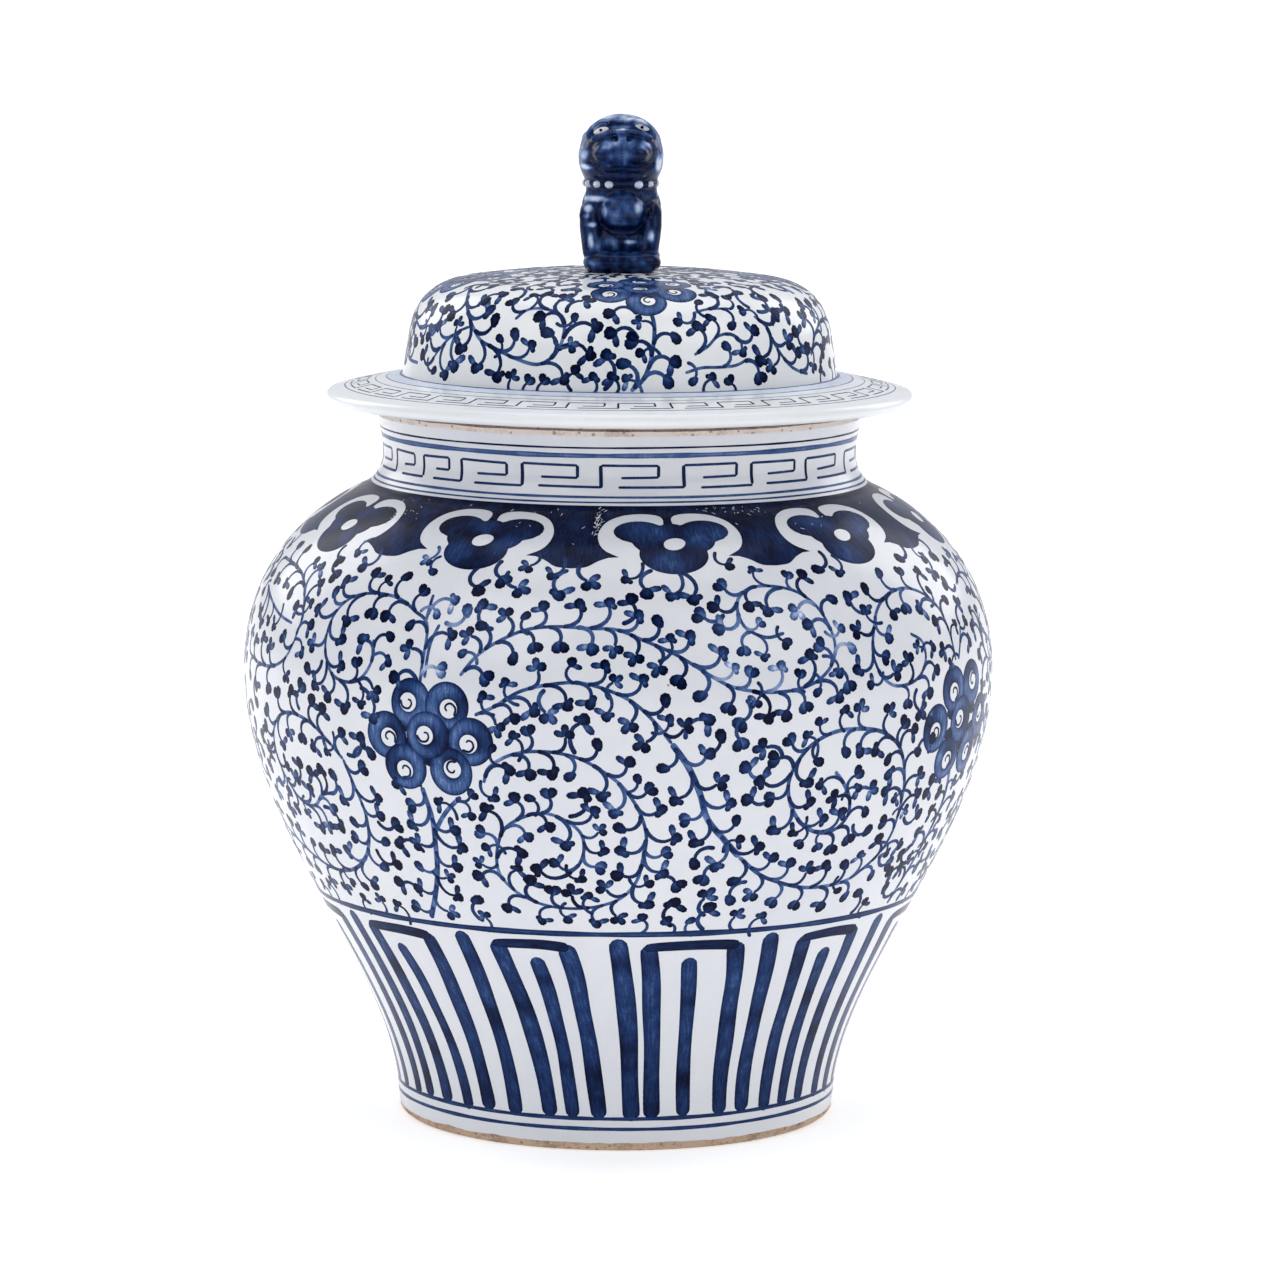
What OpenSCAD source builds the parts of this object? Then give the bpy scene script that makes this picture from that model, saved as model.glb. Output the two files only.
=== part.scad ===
// Covered ginger jar: a thrown porcelain jar on a turned foot ring, with a loose
// domed lid. The lid's broad brim rests on the neck, a ring under it locates it in
// the neck's bore, and a press-moulded seated lion dog on top is the handle.
// Millimetres. +Z is up, z = 0 is the plane that the foot stands on, the origin is on
// the jar's axis and -Y is the front, the way the lion looks.

/* [Foot] */
// Outer radius at the top of the foot, where the wall starts
foot_r = 97; // [85:1:115]
// Height of the foot ring
foot_h = 16; // [12:1:22]
// Radial width of the foot ring
foot_ring_w = 14; // [8:1:20]
// Depth of the recess under the base plate
foot_recess = 8; // [5:0.5:9]
// Inward lean of the foot's outer face, from its top to its bevel
foot_lean = 1.2; // [0:0.2:3]
// Unglazed bevel on the foot's lower outer edge
foot_bevel = 2.5; // [1:0.5:4]

/* [Body] */
// Outer radius at the belly
belly_r = 164.5; // [140:0.5:200]
// Height of the belly, where the two thrown halves are luted together
belly_z = 198; // [160:1:225]
// Height of the shoulder's end, at the root of the neck
shoulder_z = 277.5; // [250:0.5:335]
// Wall thickness, square to the surface
wall = 8; // [5:0.5:10]
// Outward angle of the wall as it leaves the foot, from upright
foot_flare = 9; // [0:1:15]
// Pull of the foot's direction on the lower curve, as a share of that curve's height
foot_swell = 0.32; // [0.2:0.02:0.5]
// Pull of the belly's upright direction on the lower curve
belly_swell = 0.38; // [0.2:0.02:0.5]
// Pull of the belly's upright direction on the shoulder curve
shoulder_swell = 0.73; // [0.5:0.01:0.85]

/* [Neck] */
// Radius of the neck's bore
neck_bore_r = 96; // [80:0.5:115]
// Wall thickness at the neck's waist
neck_wall = 7.5; // [5:0.5:10]
// Height of the neck, from its root to the rim that the lid rests on
neck_h = 36.5; // [28:0.5:50]
// Height of the waist above the root
waist_h = 14.5; // [10:0.5:18]
// How far the root stands out past the waist
root_flare = 8.5; // [5:0.5:12]
// How far the rim stands out past the waist
lip_flare = 3.5; // [1:0.5:6]

/* [Lid] */
// How far the brim overhangs the neck's rim
brim_overhang = 21.4; // [10:0.2:30]
// Thickness of the brim at its rounded edge
brim_edge_t = 6; // [4:0.5:9]
// Rise of the brim's top from its edge to the crown
brim_rise = 6.5; // [3:0.5:10]
// How far the crown's foot stands inside the line of the neck's bore
crown_inset = 1; // [0:0.5:4]
// Height of the crown above the brim
crown_h = 45; // [35:1:60]
// Inward lean of the crown's side, over its whole height
crown_lean = 6; // [2:0.5:12]
// Radius of the crown's rounded corner
crown_corner = 24; // [16:1:30]
// Rise of the top from that corner to the middle
crown_dome = 3; // [1:0.5:6]
// Thickness of the crown's wall
crown_wall = 6; // [4:0.5:8]
// Radial gap between the locating ring and the neck's bore
ring_clearance = 2.5; // [1:0.5:4]
// Thickness of the locating ring
ring_wall = 5; // [3:0.5:8]
// Depth of the locating ring below the brim
ring_depth = 12; // [6:1:20]

/* [Finial] */
// Width of the finial's base, across the front
lion_base_w = 34; // [28:1:40]
// Depth of the finial's base, front to back
lion_base_d = 38; // [32:1:42]
// Height of the finial's base, which is also the thickness of the roll of paws
lion_base_h = 9; // [6:0.5:12]
// Radius of the lion's torso at the shoulders
lion_torso_r = 17.5; // [14:0.5:20]
// Height of the lion's torso above its base
lion_torso_h = 27; // [22:1:34]
// Radius of the lion's head
lion_head_r = 19; // [15:0.5:22]
// Radius of the two lobes of the muzzle
lion_muzzle_r = 8.5; // [6:0.5:10]
// Wall of the hollow press-moulded lion
lion_wall = 3.5; // [2.5:0.5:5]
// Radius of the vent hole through the crown and the finial's base
vent_r = 2; // [1:0.5:3]

/* [Hidden] */

$fn = 128;
CURVE_STEPS = 28;    // segments along each long curve of the body
BEND_STEPS = 12;     // segments along each short curve
EDGE_STEPS = 8;      // segments around the brim's rounded edge
SCULPT_FN = 32;      // facets around the lion's blended shapes
PAST = 1;            // how far a cut runs past the face that it opens
ROOT_SLOPE = 22;     // rise of the shoulder where it meets the neck
ROOT_LEAD = 3.5;     // pull of that rise on both curves that meet there
RIM_ROUND = 1.2;     // rounding of the rim's outer edge
RIM_POINTS = 3;      // segments around that rounding
CORNER_PULL = 0.55;  // pull of a tangent on a rounded corner, as a share of its radius

// Values that follow from those above
foot_ring_in = foot_r - foot_ring_w;
base_t = foot_h - foot_recess;
waist_r = neck_bore_r + neck_wall;
root_r = waist_r + root_flare;
rim_r = waist_r + lip_flare;
rim_z = shoulder_z + neck_h;
brim_r = rim_r + brim_overhang;
brim_round = brim_edge_t / 2;
brim_top_z = rim_z + brim_edge_t + brim_rise;
ring_out = neck_bore_r - ring_clearance;
ring_in = ring_out - ring_wall;
crown_r = neck_bore_r - crown_inset;
crown_top_z = brim_top_z + crown_h;
seat_r = norm([lion_base_w, lion_base_d]) / 2;
lion_z = crown_top_z + lion_base_h;
head_z = lion_z + lion_torso_h + lion_head_r * 0.71;

porcelain = [0.89, 0.9, 0.93];
biscuit = [0.76, 0.69, 0.62];
cobalt = [0.12, 0.2, 0.42];

// Points of a cubic curve from a to d, with b and c pulling on its ends
function curve(a, b, c, d, steps) = [
    for (i = [0 : steps])
        let (t = i / steps, s = 1 - t)
            s * s * s * a + 3 * s * s * t * b + 3 * s * t * t * c + t * t * t * d
];

// A point on a circle about the origin of the outline's plane
function polar(r, angle) = r * [cos(angle), sin(angle)];

function without_first(points) = [for (i = [1 : len(points) - 1]) points[i]];
function reversed(points) = [for (i = [len(points) - 1 : -1 : 0]) points[i]];

// The inside of a wall of thickness t behind an outline that runs upwards, for all the
// outline's points but its two ends
function inside_of(points, t) = [
    for (i = [1 : len(points) - 2])
        let (along = points[i + 1] - points[i - 1])
            points[i] + t * [-along.y, along.x] / norm(along)
];

// The outside of the jar, from the foot up to the belly
lower_span = belly_z - foot_h;
lower_outline = curve(
    [foot_r, foot_h],
    [foot_r, foot_h] + polar(foot_swell * lower_span, 90 - foot_flare),
    [belly_r, belly_z - belly_swell * lower_span],
    [belly_r, belly_z],
    CURVE_STEPS
);

// The outside of the jar, from the belly over the shoulder to the neck's root
upper_outline = curve(
    [belly_r, belly_z],
    [belly_r, belly_z + shoulder_swell * (shoulder_z - belly_z)],
    [root_r, shoulder_z] + polar(ROOT_LEAD, -ROOT_SLOPE),
    [root_r, shoulder_z],
    CURVE_STEPS
);

// The outside of the neck: in to the waist, then out again to the rim
waist = [waist_r, shoulder_z + waist_h];
waist_pull = [0, waist_h / 2];
rim_corner = [rim_r, rim_z];
neck_outline = concat(
    curve(
        [root_r, shoulder_z],
        [root_r, shoulder_z] + polar(ROOT_LEAD, 180 - ROOT_SLOPE),
        waist - waist_pull, waist, BEND_STEPS
    ),
    without_first(curve(
        waist, waist + waist_pull,
        rim_corner - [lip_flare / 2, neck_h / 4],
        rim_corner - [0, RIM_ROUND], BEND_STEPS
    )),
    [for (i = [1 : RIM_POINTS]) rim_corner - [RIM_ROUND, RIM_ROUND] + polar(RIM_ROUND, 90 * i / RIM_POINTS)]
);

// The outside of the crown: a leaning side, a rounded corner and a shallow dome that
// ends at the flat seat of the finial
corner_foot = [crown_r - crown_lean * (crown_h - crown_corner) / crown_h,
               crown_top_z - crown_dome - crown_corner];
corner_end = [crown_r - crown_lean - crown_corner, crown_top_z - crown_dome];
side_dir = [-crown_lean, crown_h] / norm([crown_lean, crown_h]);
dome_reach = corner_end.x - seat_r;
crown_outline = concat(
    [[crown_r, brim_top_z]],
    curve(
        corner_foot,
        corner_foot + CORNER_PULL * 1.15 * crown_corner * side_dir,
        corner_end + CORNER_PULL * 1.15 * crown_corner * [1, 0] - [0, crown_dome / 4],
        corner_end, BEND_STEPS
    ),
    [for (i = [1 : BEND_STEPS / 2])
        let (t = 2 * i / BEND_STEPS)
            [corner_end.x - t * dome_reach, corner_end.y + crown_dome * (2 * t - t * t)]]
);

// ---- Jar ----

module foot_ring() {
    color(biscuit)
        rotate_extrude()
            polygon([
                [foot_ring_in, 0],
                [foot_r - foot_lean - foot_bevel, 0],
                [foot_r - foot_lean, foot_bevel],
                [foot_r, foot_h],
                [foot_ring_in, foot_h],
            ]);
}

module base_plate() {
    color(porcelain)
        translate([0, 0, foot_recess])
            cylinder(r = foot_ring_in, h = base_t);
}

module lower_body() {
    inner = inside_of(lower_outline, wall);
    color(porcelain)
        rotate_extrude()
            polygon(concat(
                lower_outline,
                [[belly_r - wall, belly_z]],
                reversed(inner),
                [[foot_r - wall, foot_h]]
            ));
}

module upper_body() {
    inner = inside_of(upper_outline, wall);
    color(porcelain)
        rotate_extrude()
            polygon(concat(
                upper_outline,
                [[neck_bore_r, shoulder_z]],
                reversed([for (p = inner) if (p.x > neck_bore_r + wall / 2) p]),
                [[belly_r - wall, belly_z]]
            ));
}

module neck_ring() {
    color(porcelain)
        rotate_extrude()
            polygon(concat(
                neck_outline,
                [[neck_bore_r, rim_z], [neck_bore_r, shoulder_z]]
            ));
}

// ---- Lid ----

module lid_brim() {
    edge = [brim_r - brim_round, rim_z + brim_round];
    color(porcelain)
        rotate_extrude()
            polygon(concat(
                [[ring_in, rim_z]],
                [for (i = [0 : EDGE_STEPS]) edge + polar(brim_round, -90 + 165 * i / EDGE_STEPS)],
                [[crown_r, brim_top_z], [ring_in, brim_top_z]]
            ));
}

module lid_locating_ring() {
    color(biscuit)
        translate([0, 0, rim_z - ring_depth])
            difference() {
                cylinder(r = ring_out, h = ring_depth);
                translate([0, 0, -PAST])
                    cylinder(r = ring_in, h = ring_depth + 2 * PAST);
            }
}

module lid_crown() {
    inner = [for (p = inside_of(crown_outline, crown_wall)) if (p.y > brim_top_z) p];
    color(porcelain)
        difference() {
            rotate_extrude()
                polygon(concat(
                    crown_outline,
                    [[0, crown_top_z], [0, crown_top_z - crown_wall]],
                    reversed(inner),
                    [[crown_r - crown_wall, brim_top_z]]
                ));
            vent_hole();
        }
}

// ---- Finial ----

module vent_hole() {
    translate([0, 0, crown_top_z - crown_wall - PAST])
        cylinder(r = vent_r, h = crown_wall + lion_base_h + 2 * PAST);
}

// A slab with round corners, and a roll across its front that is the lion's paws
module finial_base() {
    roll_r = lion_base_h / 2;
    corner = [lion_base_w / 2 - roll_r, lion_base_d / 2 - roll_r];
    color(cobalt)
        translate([0, 0, crown_top_z])
            difference() {
                union() {
                    translate([-corner.x, -corner.y, 0])
                        cube([2 * corner.x, corner.y + lion_base_d / 2, lion_base_h]);
                    translate([-lion_base_w / 2, -corner.y, 0])
                        cube([lion_base_w, 2 * corner.y, lion_base_h]);
                    for (side = [-1, 1])
                        translate([side * corner.x, corner.y, 0])
                            cylinder(r = roll_r, h = lion_base_h);
                    translate([-corner.x, -corner.y, roll_r])
                        rotate([0, 90, 0])
                            cylinder(r = roll_r, h = 2 * corner.x);
                    for (side = [-1, 1])
                        translate([side * corner.x, -corner.y, roll_r])
                            sphere(r = roll_r);
                }
                translate([0, 0, -PAST])
                    cylinder(r = vent_r, h = lion_base_h + 2 * PAST);
            }
}

// The lion's torso, made smaller by inset for the hollow inside it
module lion_torso(inset) {
    r = lion_torso_r - inset;
    hull() {
        translate([0, 0, lion_z + inset])
            cylinder(r = lion_base_w / 2 - 1 - inset, h = 1, $fn = SCULPT_FN);
        translate([0, 0, lion_z + lion_torso_h * 0.6])
            cylinder(r = r + 1.5, h = 1, $fn = SCULPT_FN);
        translate([0, 0, head_z - lion_head_r * 0.3])
            cylinder(r = r - 1.5, h = 1, $fn = SCULPT_FN);
    }
}

module lion_head(inset) {
    hull()
        for (y = [-lion_head_r * 0.12, lion_head_r * 0.12])
            translate([0, y, head_z])
                sphere(r = lion_head_r - inset, $fn = SCULPT_FN);
}

// Two lobes side by side under the nose, blended into one broad muzzle
module lion_muzzle() {
    hull()
        for (side = [-1, 1])
            translate([side * lion_muzzle_r * 0.9, -lion_head_r * 0.75, head_z - lion_head_r * 0.3])
                sphere(r = lion_muzzle_r, $fn = SCULPT_FN);
}

// A tail that lies up the lion's back
module lion_tail() {
    tail_r = lion_torso_r * 0.36;
    hull()
        for (h = [tail_r, lion_torso_h * 0.75])
            translate([0, lion_torso_r - tail_r * 0.2, lion_z + h])
                sphere(r = tail_r, $fn = SCULPT_FN);
}

module lion_form() {
    difference() {
        union() {
            lion_torso(0);
            lion_head(0);
            lion_muzzle();
            lion_tail();
        }
        lion_torso(lion_wall);
        lion_head(lion_wall);
    }
}

// The half of space in front of the mould's seam (side = -1) or behind it (side = 1)
module half_space(side) {
    reach = 4 * lion_head_r;
    translate([-reach / 2, side < 0 ? -reach : 0, lion_z])
        cube([reach, reach, 2 * reach]);
}

module lion_front() {
    color(cobalt)
        intersection() {
            lion_form();
            half_space(-1);
        }
}

module lion_back() {
    color(cobalt)
        intersection() {
            lion_form();
            half_space(1);
        }
}

foot_ring();
base_plate();
lower_body();
upper_body();
neck_ring();
lid_brim();
lid_locating_ring();
lid_crown();
finial_base();
lion_front();
lion_back();
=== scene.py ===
"""Looks of a covered jar of white porcelain, painted in cobalt blue under its glaze.

Lengths inside the classes are in millimetres and angles round the axis in degrees, from
the front (-Y) towards +X. Flat work is laid out as radians round the axis, millimetres
along an outline and millimetres of lift, and is bent round the jar by geometry nodes.
"""

import logging
import math
import random
from collections.abc import Callable, Sequence
from dataclasses import dataclass, field
from enum import Enum

import bmesh
import bpy
import numpy as np
from mathutils import Matrix, Vector, noise
from mathutils.bvhtree import BVHTree
from mathutils.geometry import delaunay_2d_cdt

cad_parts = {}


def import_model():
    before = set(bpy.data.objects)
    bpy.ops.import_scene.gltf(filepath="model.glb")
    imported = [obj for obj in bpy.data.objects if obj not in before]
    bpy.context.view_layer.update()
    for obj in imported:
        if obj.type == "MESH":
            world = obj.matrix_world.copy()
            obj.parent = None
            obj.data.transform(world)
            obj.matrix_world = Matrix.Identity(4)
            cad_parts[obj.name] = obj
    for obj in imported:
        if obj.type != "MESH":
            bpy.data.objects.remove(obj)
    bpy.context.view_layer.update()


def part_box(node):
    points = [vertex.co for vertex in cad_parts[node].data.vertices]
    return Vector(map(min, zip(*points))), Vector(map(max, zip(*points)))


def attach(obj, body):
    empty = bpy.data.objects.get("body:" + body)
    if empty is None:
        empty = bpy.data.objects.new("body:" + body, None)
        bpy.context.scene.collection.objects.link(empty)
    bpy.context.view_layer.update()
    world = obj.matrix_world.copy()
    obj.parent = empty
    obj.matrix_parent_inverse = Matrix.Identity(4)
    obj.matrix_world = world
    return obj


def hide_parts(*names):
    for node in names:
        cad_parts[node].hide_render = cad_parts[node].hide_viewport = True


LOG = logging.getLogger("ginger_jar")
MM = 0.001
SINK = -0.04
Point = tuple[float, float]
Place = tuple[float, float, float]
Colour = tuple[float, float, float]
Socket = bpy.types.NodeSocket


class Slot(Enum):
    """The record's material slots."""

    PORCELAIN = "porcelain"
    BISCUIT = "biscuit"
    COBALT = "cobalt"


class Body(Enum):
    """The two bodies that the pieces ride on."""

    JAR = "jar"
    LID = "lid"


# ---- Outlines ----


def bezier(a: Point, b: Point, c: Point, d: Point, steps: int) -> list[Point]:
    """Points of a cubic curve from a to d.

    Args:
        a: Start of the curve.
        b: Pull on the start.
        c: Pull on the end.
        d: End of the curve.
        steps: Segments along the curve.

    Returns:
        The points, both ends included.
    """
    corners = [np.array(p, float) for p in (a, b, c, d)]
    found = []
    for i in range(steps + 1):
        t = i / steps
        s = 1 - t
        shares = (s * s * s, 3 * s * s * t, 3 * s * t * t, t * t * t)
        found.append(tuple(sum(w * p for w, p in zip(shares, corners))))
    return found


def way(angle: float) -> np.ndarray:
    """A step of length 1, for an angle in radians."""
    return np.array([math.cos(angle), math.sin(angle)])


def polar(radius: float, angle: float) -> np.ndarray:
    """A point on a circle, for an angle in degrees."""
    return radius * way(math.radians(angle))


def behind(points: Sequence[Point], depth: float) -> list[Point]:
    """The line that lies behind an outline that runs upwards.

    Args:
        points: The outline.
        depth: Distance behind it; a negative one is in front.

    Returns:
        One point for each of the outline's points.
    """
    line = np.array(points, float)
    run = np.gradient(line, axis=0)
    run /= np.linalg.norm(run, axis=1)[:, None]
    return [tuple(p) for p in line + depth * np.stack([-run[:, 1], run[:, 0]], axis=1)]


class Outline:
    """A line in the plane of radius and height, measured by the length along it."""

    def __init__(self, points: Sequence[Point]) -> None:
        """Measures the line.

        Args:
            points: Radius and height of each point, upwards along the outside.
        """
        self.points = np.array(points, float)
        steps = np.hypot(*np.diff(self.points, axis=0).T)
        self.lengths = np.concatenate([[0.0], np.cumsum(steps)])

    def radius(self, along: float | np.ndarray) -> float | np.ndarray:
        """Radius at a length along the line."""
        return np.interp(along, self.lengths, self.points[:, 0])

    def along(self, height: float) -> float:
        """Length along a line that always climbs, at a height."""
        return float(np.interp(height, self.points[:, 1], self.lengths))

    def inward(self, radius: float) -> float:
        """Length along a line that never widens, at a radius."""
        return float(np.interp(-radius, -self.points[:, 0], self.lengths))

    def curve(self, name: str) -> bpy.types.Object:
        """The line as a curve object for the node trees, in millimetres.

        Args:
            name: Name of the new object.

        Returns:
            The object, in the plane of X and Z.
        """
        data = bpy.data.curves.new(name, "CURVE")
        data.dimensions = "3D"
        spline = data.splines.new("POLY")
        spline.points.add(len(self.points) - 1)
        for place, (radius, height) in zip(spline.points, self.points):
            place.co = (radius, 0, height, 1)
        helper = bpy.data.objects.new(name, data)
        bpy.context.scene.collection.objects.link(helper)
        return helper


# ---- Node trees ----


class Nodes:
    """A node tree and short ways to fill it."""

    def __init__(self, tree: bpy.types.NodeTree) -> None:
        """Takes the tree."""
        self.tree = tree

    def feed(self, socket: Socket, value: object) -> None:
        """Links or sets one input of a node."""
        if isinstance(value, bpy.types.NodeSocket):
            self.tree.links.new(value, socket)
        else:
            socket.default_value = value

    def add(self, kind: str, inputs: dict[str | int, object] | None = None,
            **settings: object) -> bpy.types.NodeOutputs:
        """Adds a node.

        Args:
            kind: The node's type.
            inputs: Links and values, by the input's name or number.
            settings: Properties of the node itself.

        Returns:
            The node's outputs.
        """
        node = self.tree.nodes.new(kind)
        for key, value in settings.items():
            setattr(node, key, value)
        for key, value in (inputs or {}).items():
            self.feed(node.inputs[key], value)
        return node.outputs

    def math(self, operation: str, *terms: object, **settings: object) -> Socket:
        """Result of a Math node."""
        return self.add("ShaderNodeMath", dict(enumerate(terms)), operation=operation,
                        **settings)[0]


class Graph(Nodes):
    """A geometry node tree that makes a piece."""

    def __init__(self, name: str, inputs: dict[str, str]) -> None:
        """Starts a tree with a geometry coming in and one going out.

        Args:
            name: Name of the tree.
            inputs: Kind of socket for each further input's name.
        """
        super().__init__(bpy.data.node_groups.new(name, "GeometryNodeTree"))
        face = self.tree.interface
        face.new_socket(name="Geometry", in_out="OUTPUT", socket_type="NodeSocketGeometry")
        for label, kind in {"Geometry": "Geometry", **inputs}.items():
            face.new_socket(name=label, in_out="INPUT", socket_type=f"NodeSocket{kind}")
        self.start = self.tree.nodes.new("NodeGroupInput").outputs
        self.end = self.tree.nodes.new("NodeGroupOutput").inputs

    def join(self, x: object, y: object, z: object) -> Socket:
        """A vector from its three parts."""
        return self.add("ShaderNodeCombineXYZ", {0: x, 1: y, 2: z})[0]

    def split(self, vector: Socket) -> tuple[Socket, Socket, Socket]:
        """The three parts of a vector."""
        outputs = self.add("ShaderNodeSeparateXYZ", {0: vector})
        return outputs[0], outputs[1], outputs[2]

    def named(self, name: str) -> Socket:
        """A stored number of each point."""
        return self.add("GeometryNodeInputNamedAttribute", {"Name": name})["Attribute"]

    def wrap(self, geometry: Socket) -> None:
        """Bends flat work round the outline, keeps the glaze's normal and ends the tree.

        Args:
            geometry: Flat work: radians round the axis, millimetres along, lift.
        """
        turn, along, lift = self.split(self.add("GeometryNodeInputPosition")[0])
        line = self.add("GeometryNodeObjectInfo", {"Object": self.start["Outline"]})["Geometry"]
        sample = self.add("GeometryNodeSampleCurve", {"Curves": line, "Length": along},
                          mode="LENGTH", use_all_curves=True)
        radius, _, height = self.split(sample["Position"])
        out, _, up = self.split(sample["Tangent"])
        reach = self.math("MULTIPLY_ADD", up, lift, radius)
        level = self.math("SUBTRACT", height, self.math("MULTIPLY", out, lift))
        sine = self.math("SINE", turn)
        cosine = self.math("MULTIPLY", self.math("COSINE", turn), -1.0)
        normal = self.join(self.math("MULTIPLY", up, sine), self.math("MULTIPLY", up, cosine),
                           self.math("MULTIPLY", out, -1.0))
        place = self.join(self.math("MULTIPLY", reach, sine),
                          self.math("MULTIPLY", reach, cosine), level)
        kept = self.add("GeometryNodeStoreNamedAttribute",
                        {"Geometry": geometry, "Name": "glaze_normal", "Value": normal},
                        data_type="FLOAT_VECTOR", domain="POINT")[0]
        bent = self.add("GeometryNodeSetPosition", {"Geometry": kept, "Position": place})[0]
        self.finish(bent)

    def finish(self, geometry: Socket) -> None:
        """Ends the tree in real geometry with its material."""
        real = self.add("GeometryNodeRealizeInstances", {"Geometry": geometry})[0]
        dressed = self.add("GeometryNodeSetMaterial",
                           {"Geometry": real, "Material": self.start["Material"]})[0]
        self.feed(self.end["Geometry"], dressed)


def turning_tree() -> Graph:
    """The tree that turns a closed section into a solid, as on a wheel."""
    graph = Graph("turned_on_the_wheel", {
        "Outline": "Object", "Rows": "Int", "Segments": "Int", "Material": "Material"})
    rows, segments = graph.start["Rows"], graph.start["Segments"]
    grid = graph.add("GeometryNodeMeshGrid", {
        "Vertices X": graph.math("ADD", segments, 1.0), "Vertices Y": rows})[0]
    index = graph.add("GeometryNodeInputIndex")[0]
    column = graph.math("FLOOR", graph.math("DIVIDE", index, rows))
    row = graph.math("SUBTRACT", index, graph.math("MULTIPLY", column, rows))
    line = graph.add("GeometryNodeObjectInfo", {"Object": graph.start["Outline"]})["Geometry"]
    place = graph.add("GeometryNodeInputPosition")[0]
    point = graph.add("GeometryNodeSampleIndex", {"Geometry": line, "Value": place, "Index": row},
                      data_type="FLOAT_VECTOR", domain="POINT")[0]
    radius, _, height = graph.split(point)
    turn = graph.math("MULTIPLY", graph.math("DIVIDE", column, segments), math.tau)
    round_place = graph.join(
        graph.math("MULTIPLY", radius, graph.math("SINE", turn)),
        graph.math("MULTIPLY", graph.math("MULTIPLY", radius, graph.math("COSINE", turn)), -1.0),
        height)
    bent = graph.add("GeometryNodeSetPosition", {"Geometry": grid, "Position": round_place})[0]
    closed = graph.add("GeometryNodeMergeByDistance", {"Geometry": bent, "Distance": 0.002})[0]
    graph.finish(closed)
    return graph


def wrapping_tree() -> Graph:
    """The tree that bends flat brushwork round an outline."""
    graph = Graph("painted_round", {"Outline": "Object", "Material": "Material"})
    graph.wrap(graph.start["Geometry"])
    return graph


def leafing_tree() -> Graph:
    """The tree that puts a leaf at each point of a vine and bends all round an outline."""
    graph = Graph("leaves_round", {
        "Outline": "Object", "Leaves": "Collection", "Material": "Material"})
    leaves = graph.add("GeometryNodeCollectionInfo", {
        "Collection": graph.start["Leaves"], "Separate Children": True, "Reset Children": True})[0]
    kind = graph.add("GeometryNodeInputNamedAttribute", {"Name": "kind"},
                     data_type="INT")["Attribute"]
    size = graph.named("size")
    grown = graph.add("GeometryNodeInstanceOnPoints", {
        "Points": graph.start["Geometry"], "Instance": leaves, "Pick Instance": True,
        "Instance Index": kind, "Rotation": graph.join(0.0, 0.0, graph.named("spin")),
        "Scale": graph.join(size, size, 1.0)})[0]
    real = graph.add("GeometryNodeRealizeInstances", {"Geometry": grown})[0]
    across, along, lift = graph.split(graph.add("GeometryNodeInputPosition")[0])
    turn = graph.math("ADD", graph.named("turn"),
                      graph.math("DIVIDE", across, graph.named("anchor_radius")))
    laid = graph.add("GeometryNodeSetPosition", {
        "Geometry": real, "Position": graph.join(turn, along, lift)})[0]
    graph.wrap(laid)
    return graph


# ---- Finishes ----


class Paint(Nodes):
    """A material under way and short ways to fill its nodes."""

    def __init__(self, name: str) -> None:
        """Starts a material with one Principled shader."""
        self.material = bpy.data.materials.new(name)
        self.material.use_nodes = True
        super().__init__(self.material.node_tree)
        self.shader = self.tree.nodes["Principled BSDF"].inputs
        self.place = self.add("ShaderNodeTexCoord")["Object"]

    def noise(self, scale: float, detail: float = 2.0, at: Socket | None = None) -> Socket:
        """Noise from 0 to 1, over the object's own coordinates unless others are given."""
        return self.add("ShaderNodeTexNoise", {
            "Vector": at or self.place, "Scale": scale, "Detail": detail})["Fac"]

    def ramp(self, value: Socket, stops: Sequence[tuple[float, Colour]]) -> Socket:
        """Colours along a value.

        Args:
            value: Number from 0 to 1.
            stops: Position and colour of each stop.

        Returns:
            The colour.
        """
        node = self.tree.nodes.new("ShaderNodeValToRGB")
        self.tree.links.new(value, node.inputs[0])
        band = node.color_ramp
        while len(band.elements) < len(stops):
            band.elements.new(0.5)
        for element, (position, colour) in zip(band.elements, stops):
            element.position = position
            element.color = (*colour, 1.0)
        return node.outputs[0]

    def mix(self, share: object, first: object, second: object) -> Socket:
        """One colour blended into another."""
        return self.add("ShaderNodeMix", {0: share, 6: first, 7: second},
                        data_type="RGBA")[2]

    def bump(self, height: Socket, depth: float, strength: float) -> None:
        """Relief from a height of 0 to 1, for a depth in metres."""
        self.feed(self.shader["Normal"], self.add("ShaderNodeBump", {
            "Height": height, "Distance": depth, "Strength": strength})["Normal"])

    def ripple(self) -> None:
        """The faint waves of a glaze."""
        fine, broad = self.noise(420.0, 1.0), self.noise(70.0, 2.0)
        depth, strength = 0.00022, 0.35
        self.bump(self.math("MULTIPLY_ADD", fine, 0.18, broad), depth, strength)

    def speckle(self, base: Socket, share: Socket, speck: Colour) -> None:
        """The shader's colour: a base with specks in it."""
        self.feed(self.shader["Base Color"], self.mix(share, base, (*speck, 1.0)))

    def set(self, **values: float) -> None:
        """Sets constant values on the shader's own sockets."""
        for key, value in values.items():
            self.shader[key.replace("_", " ")].default_value = value


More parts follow.
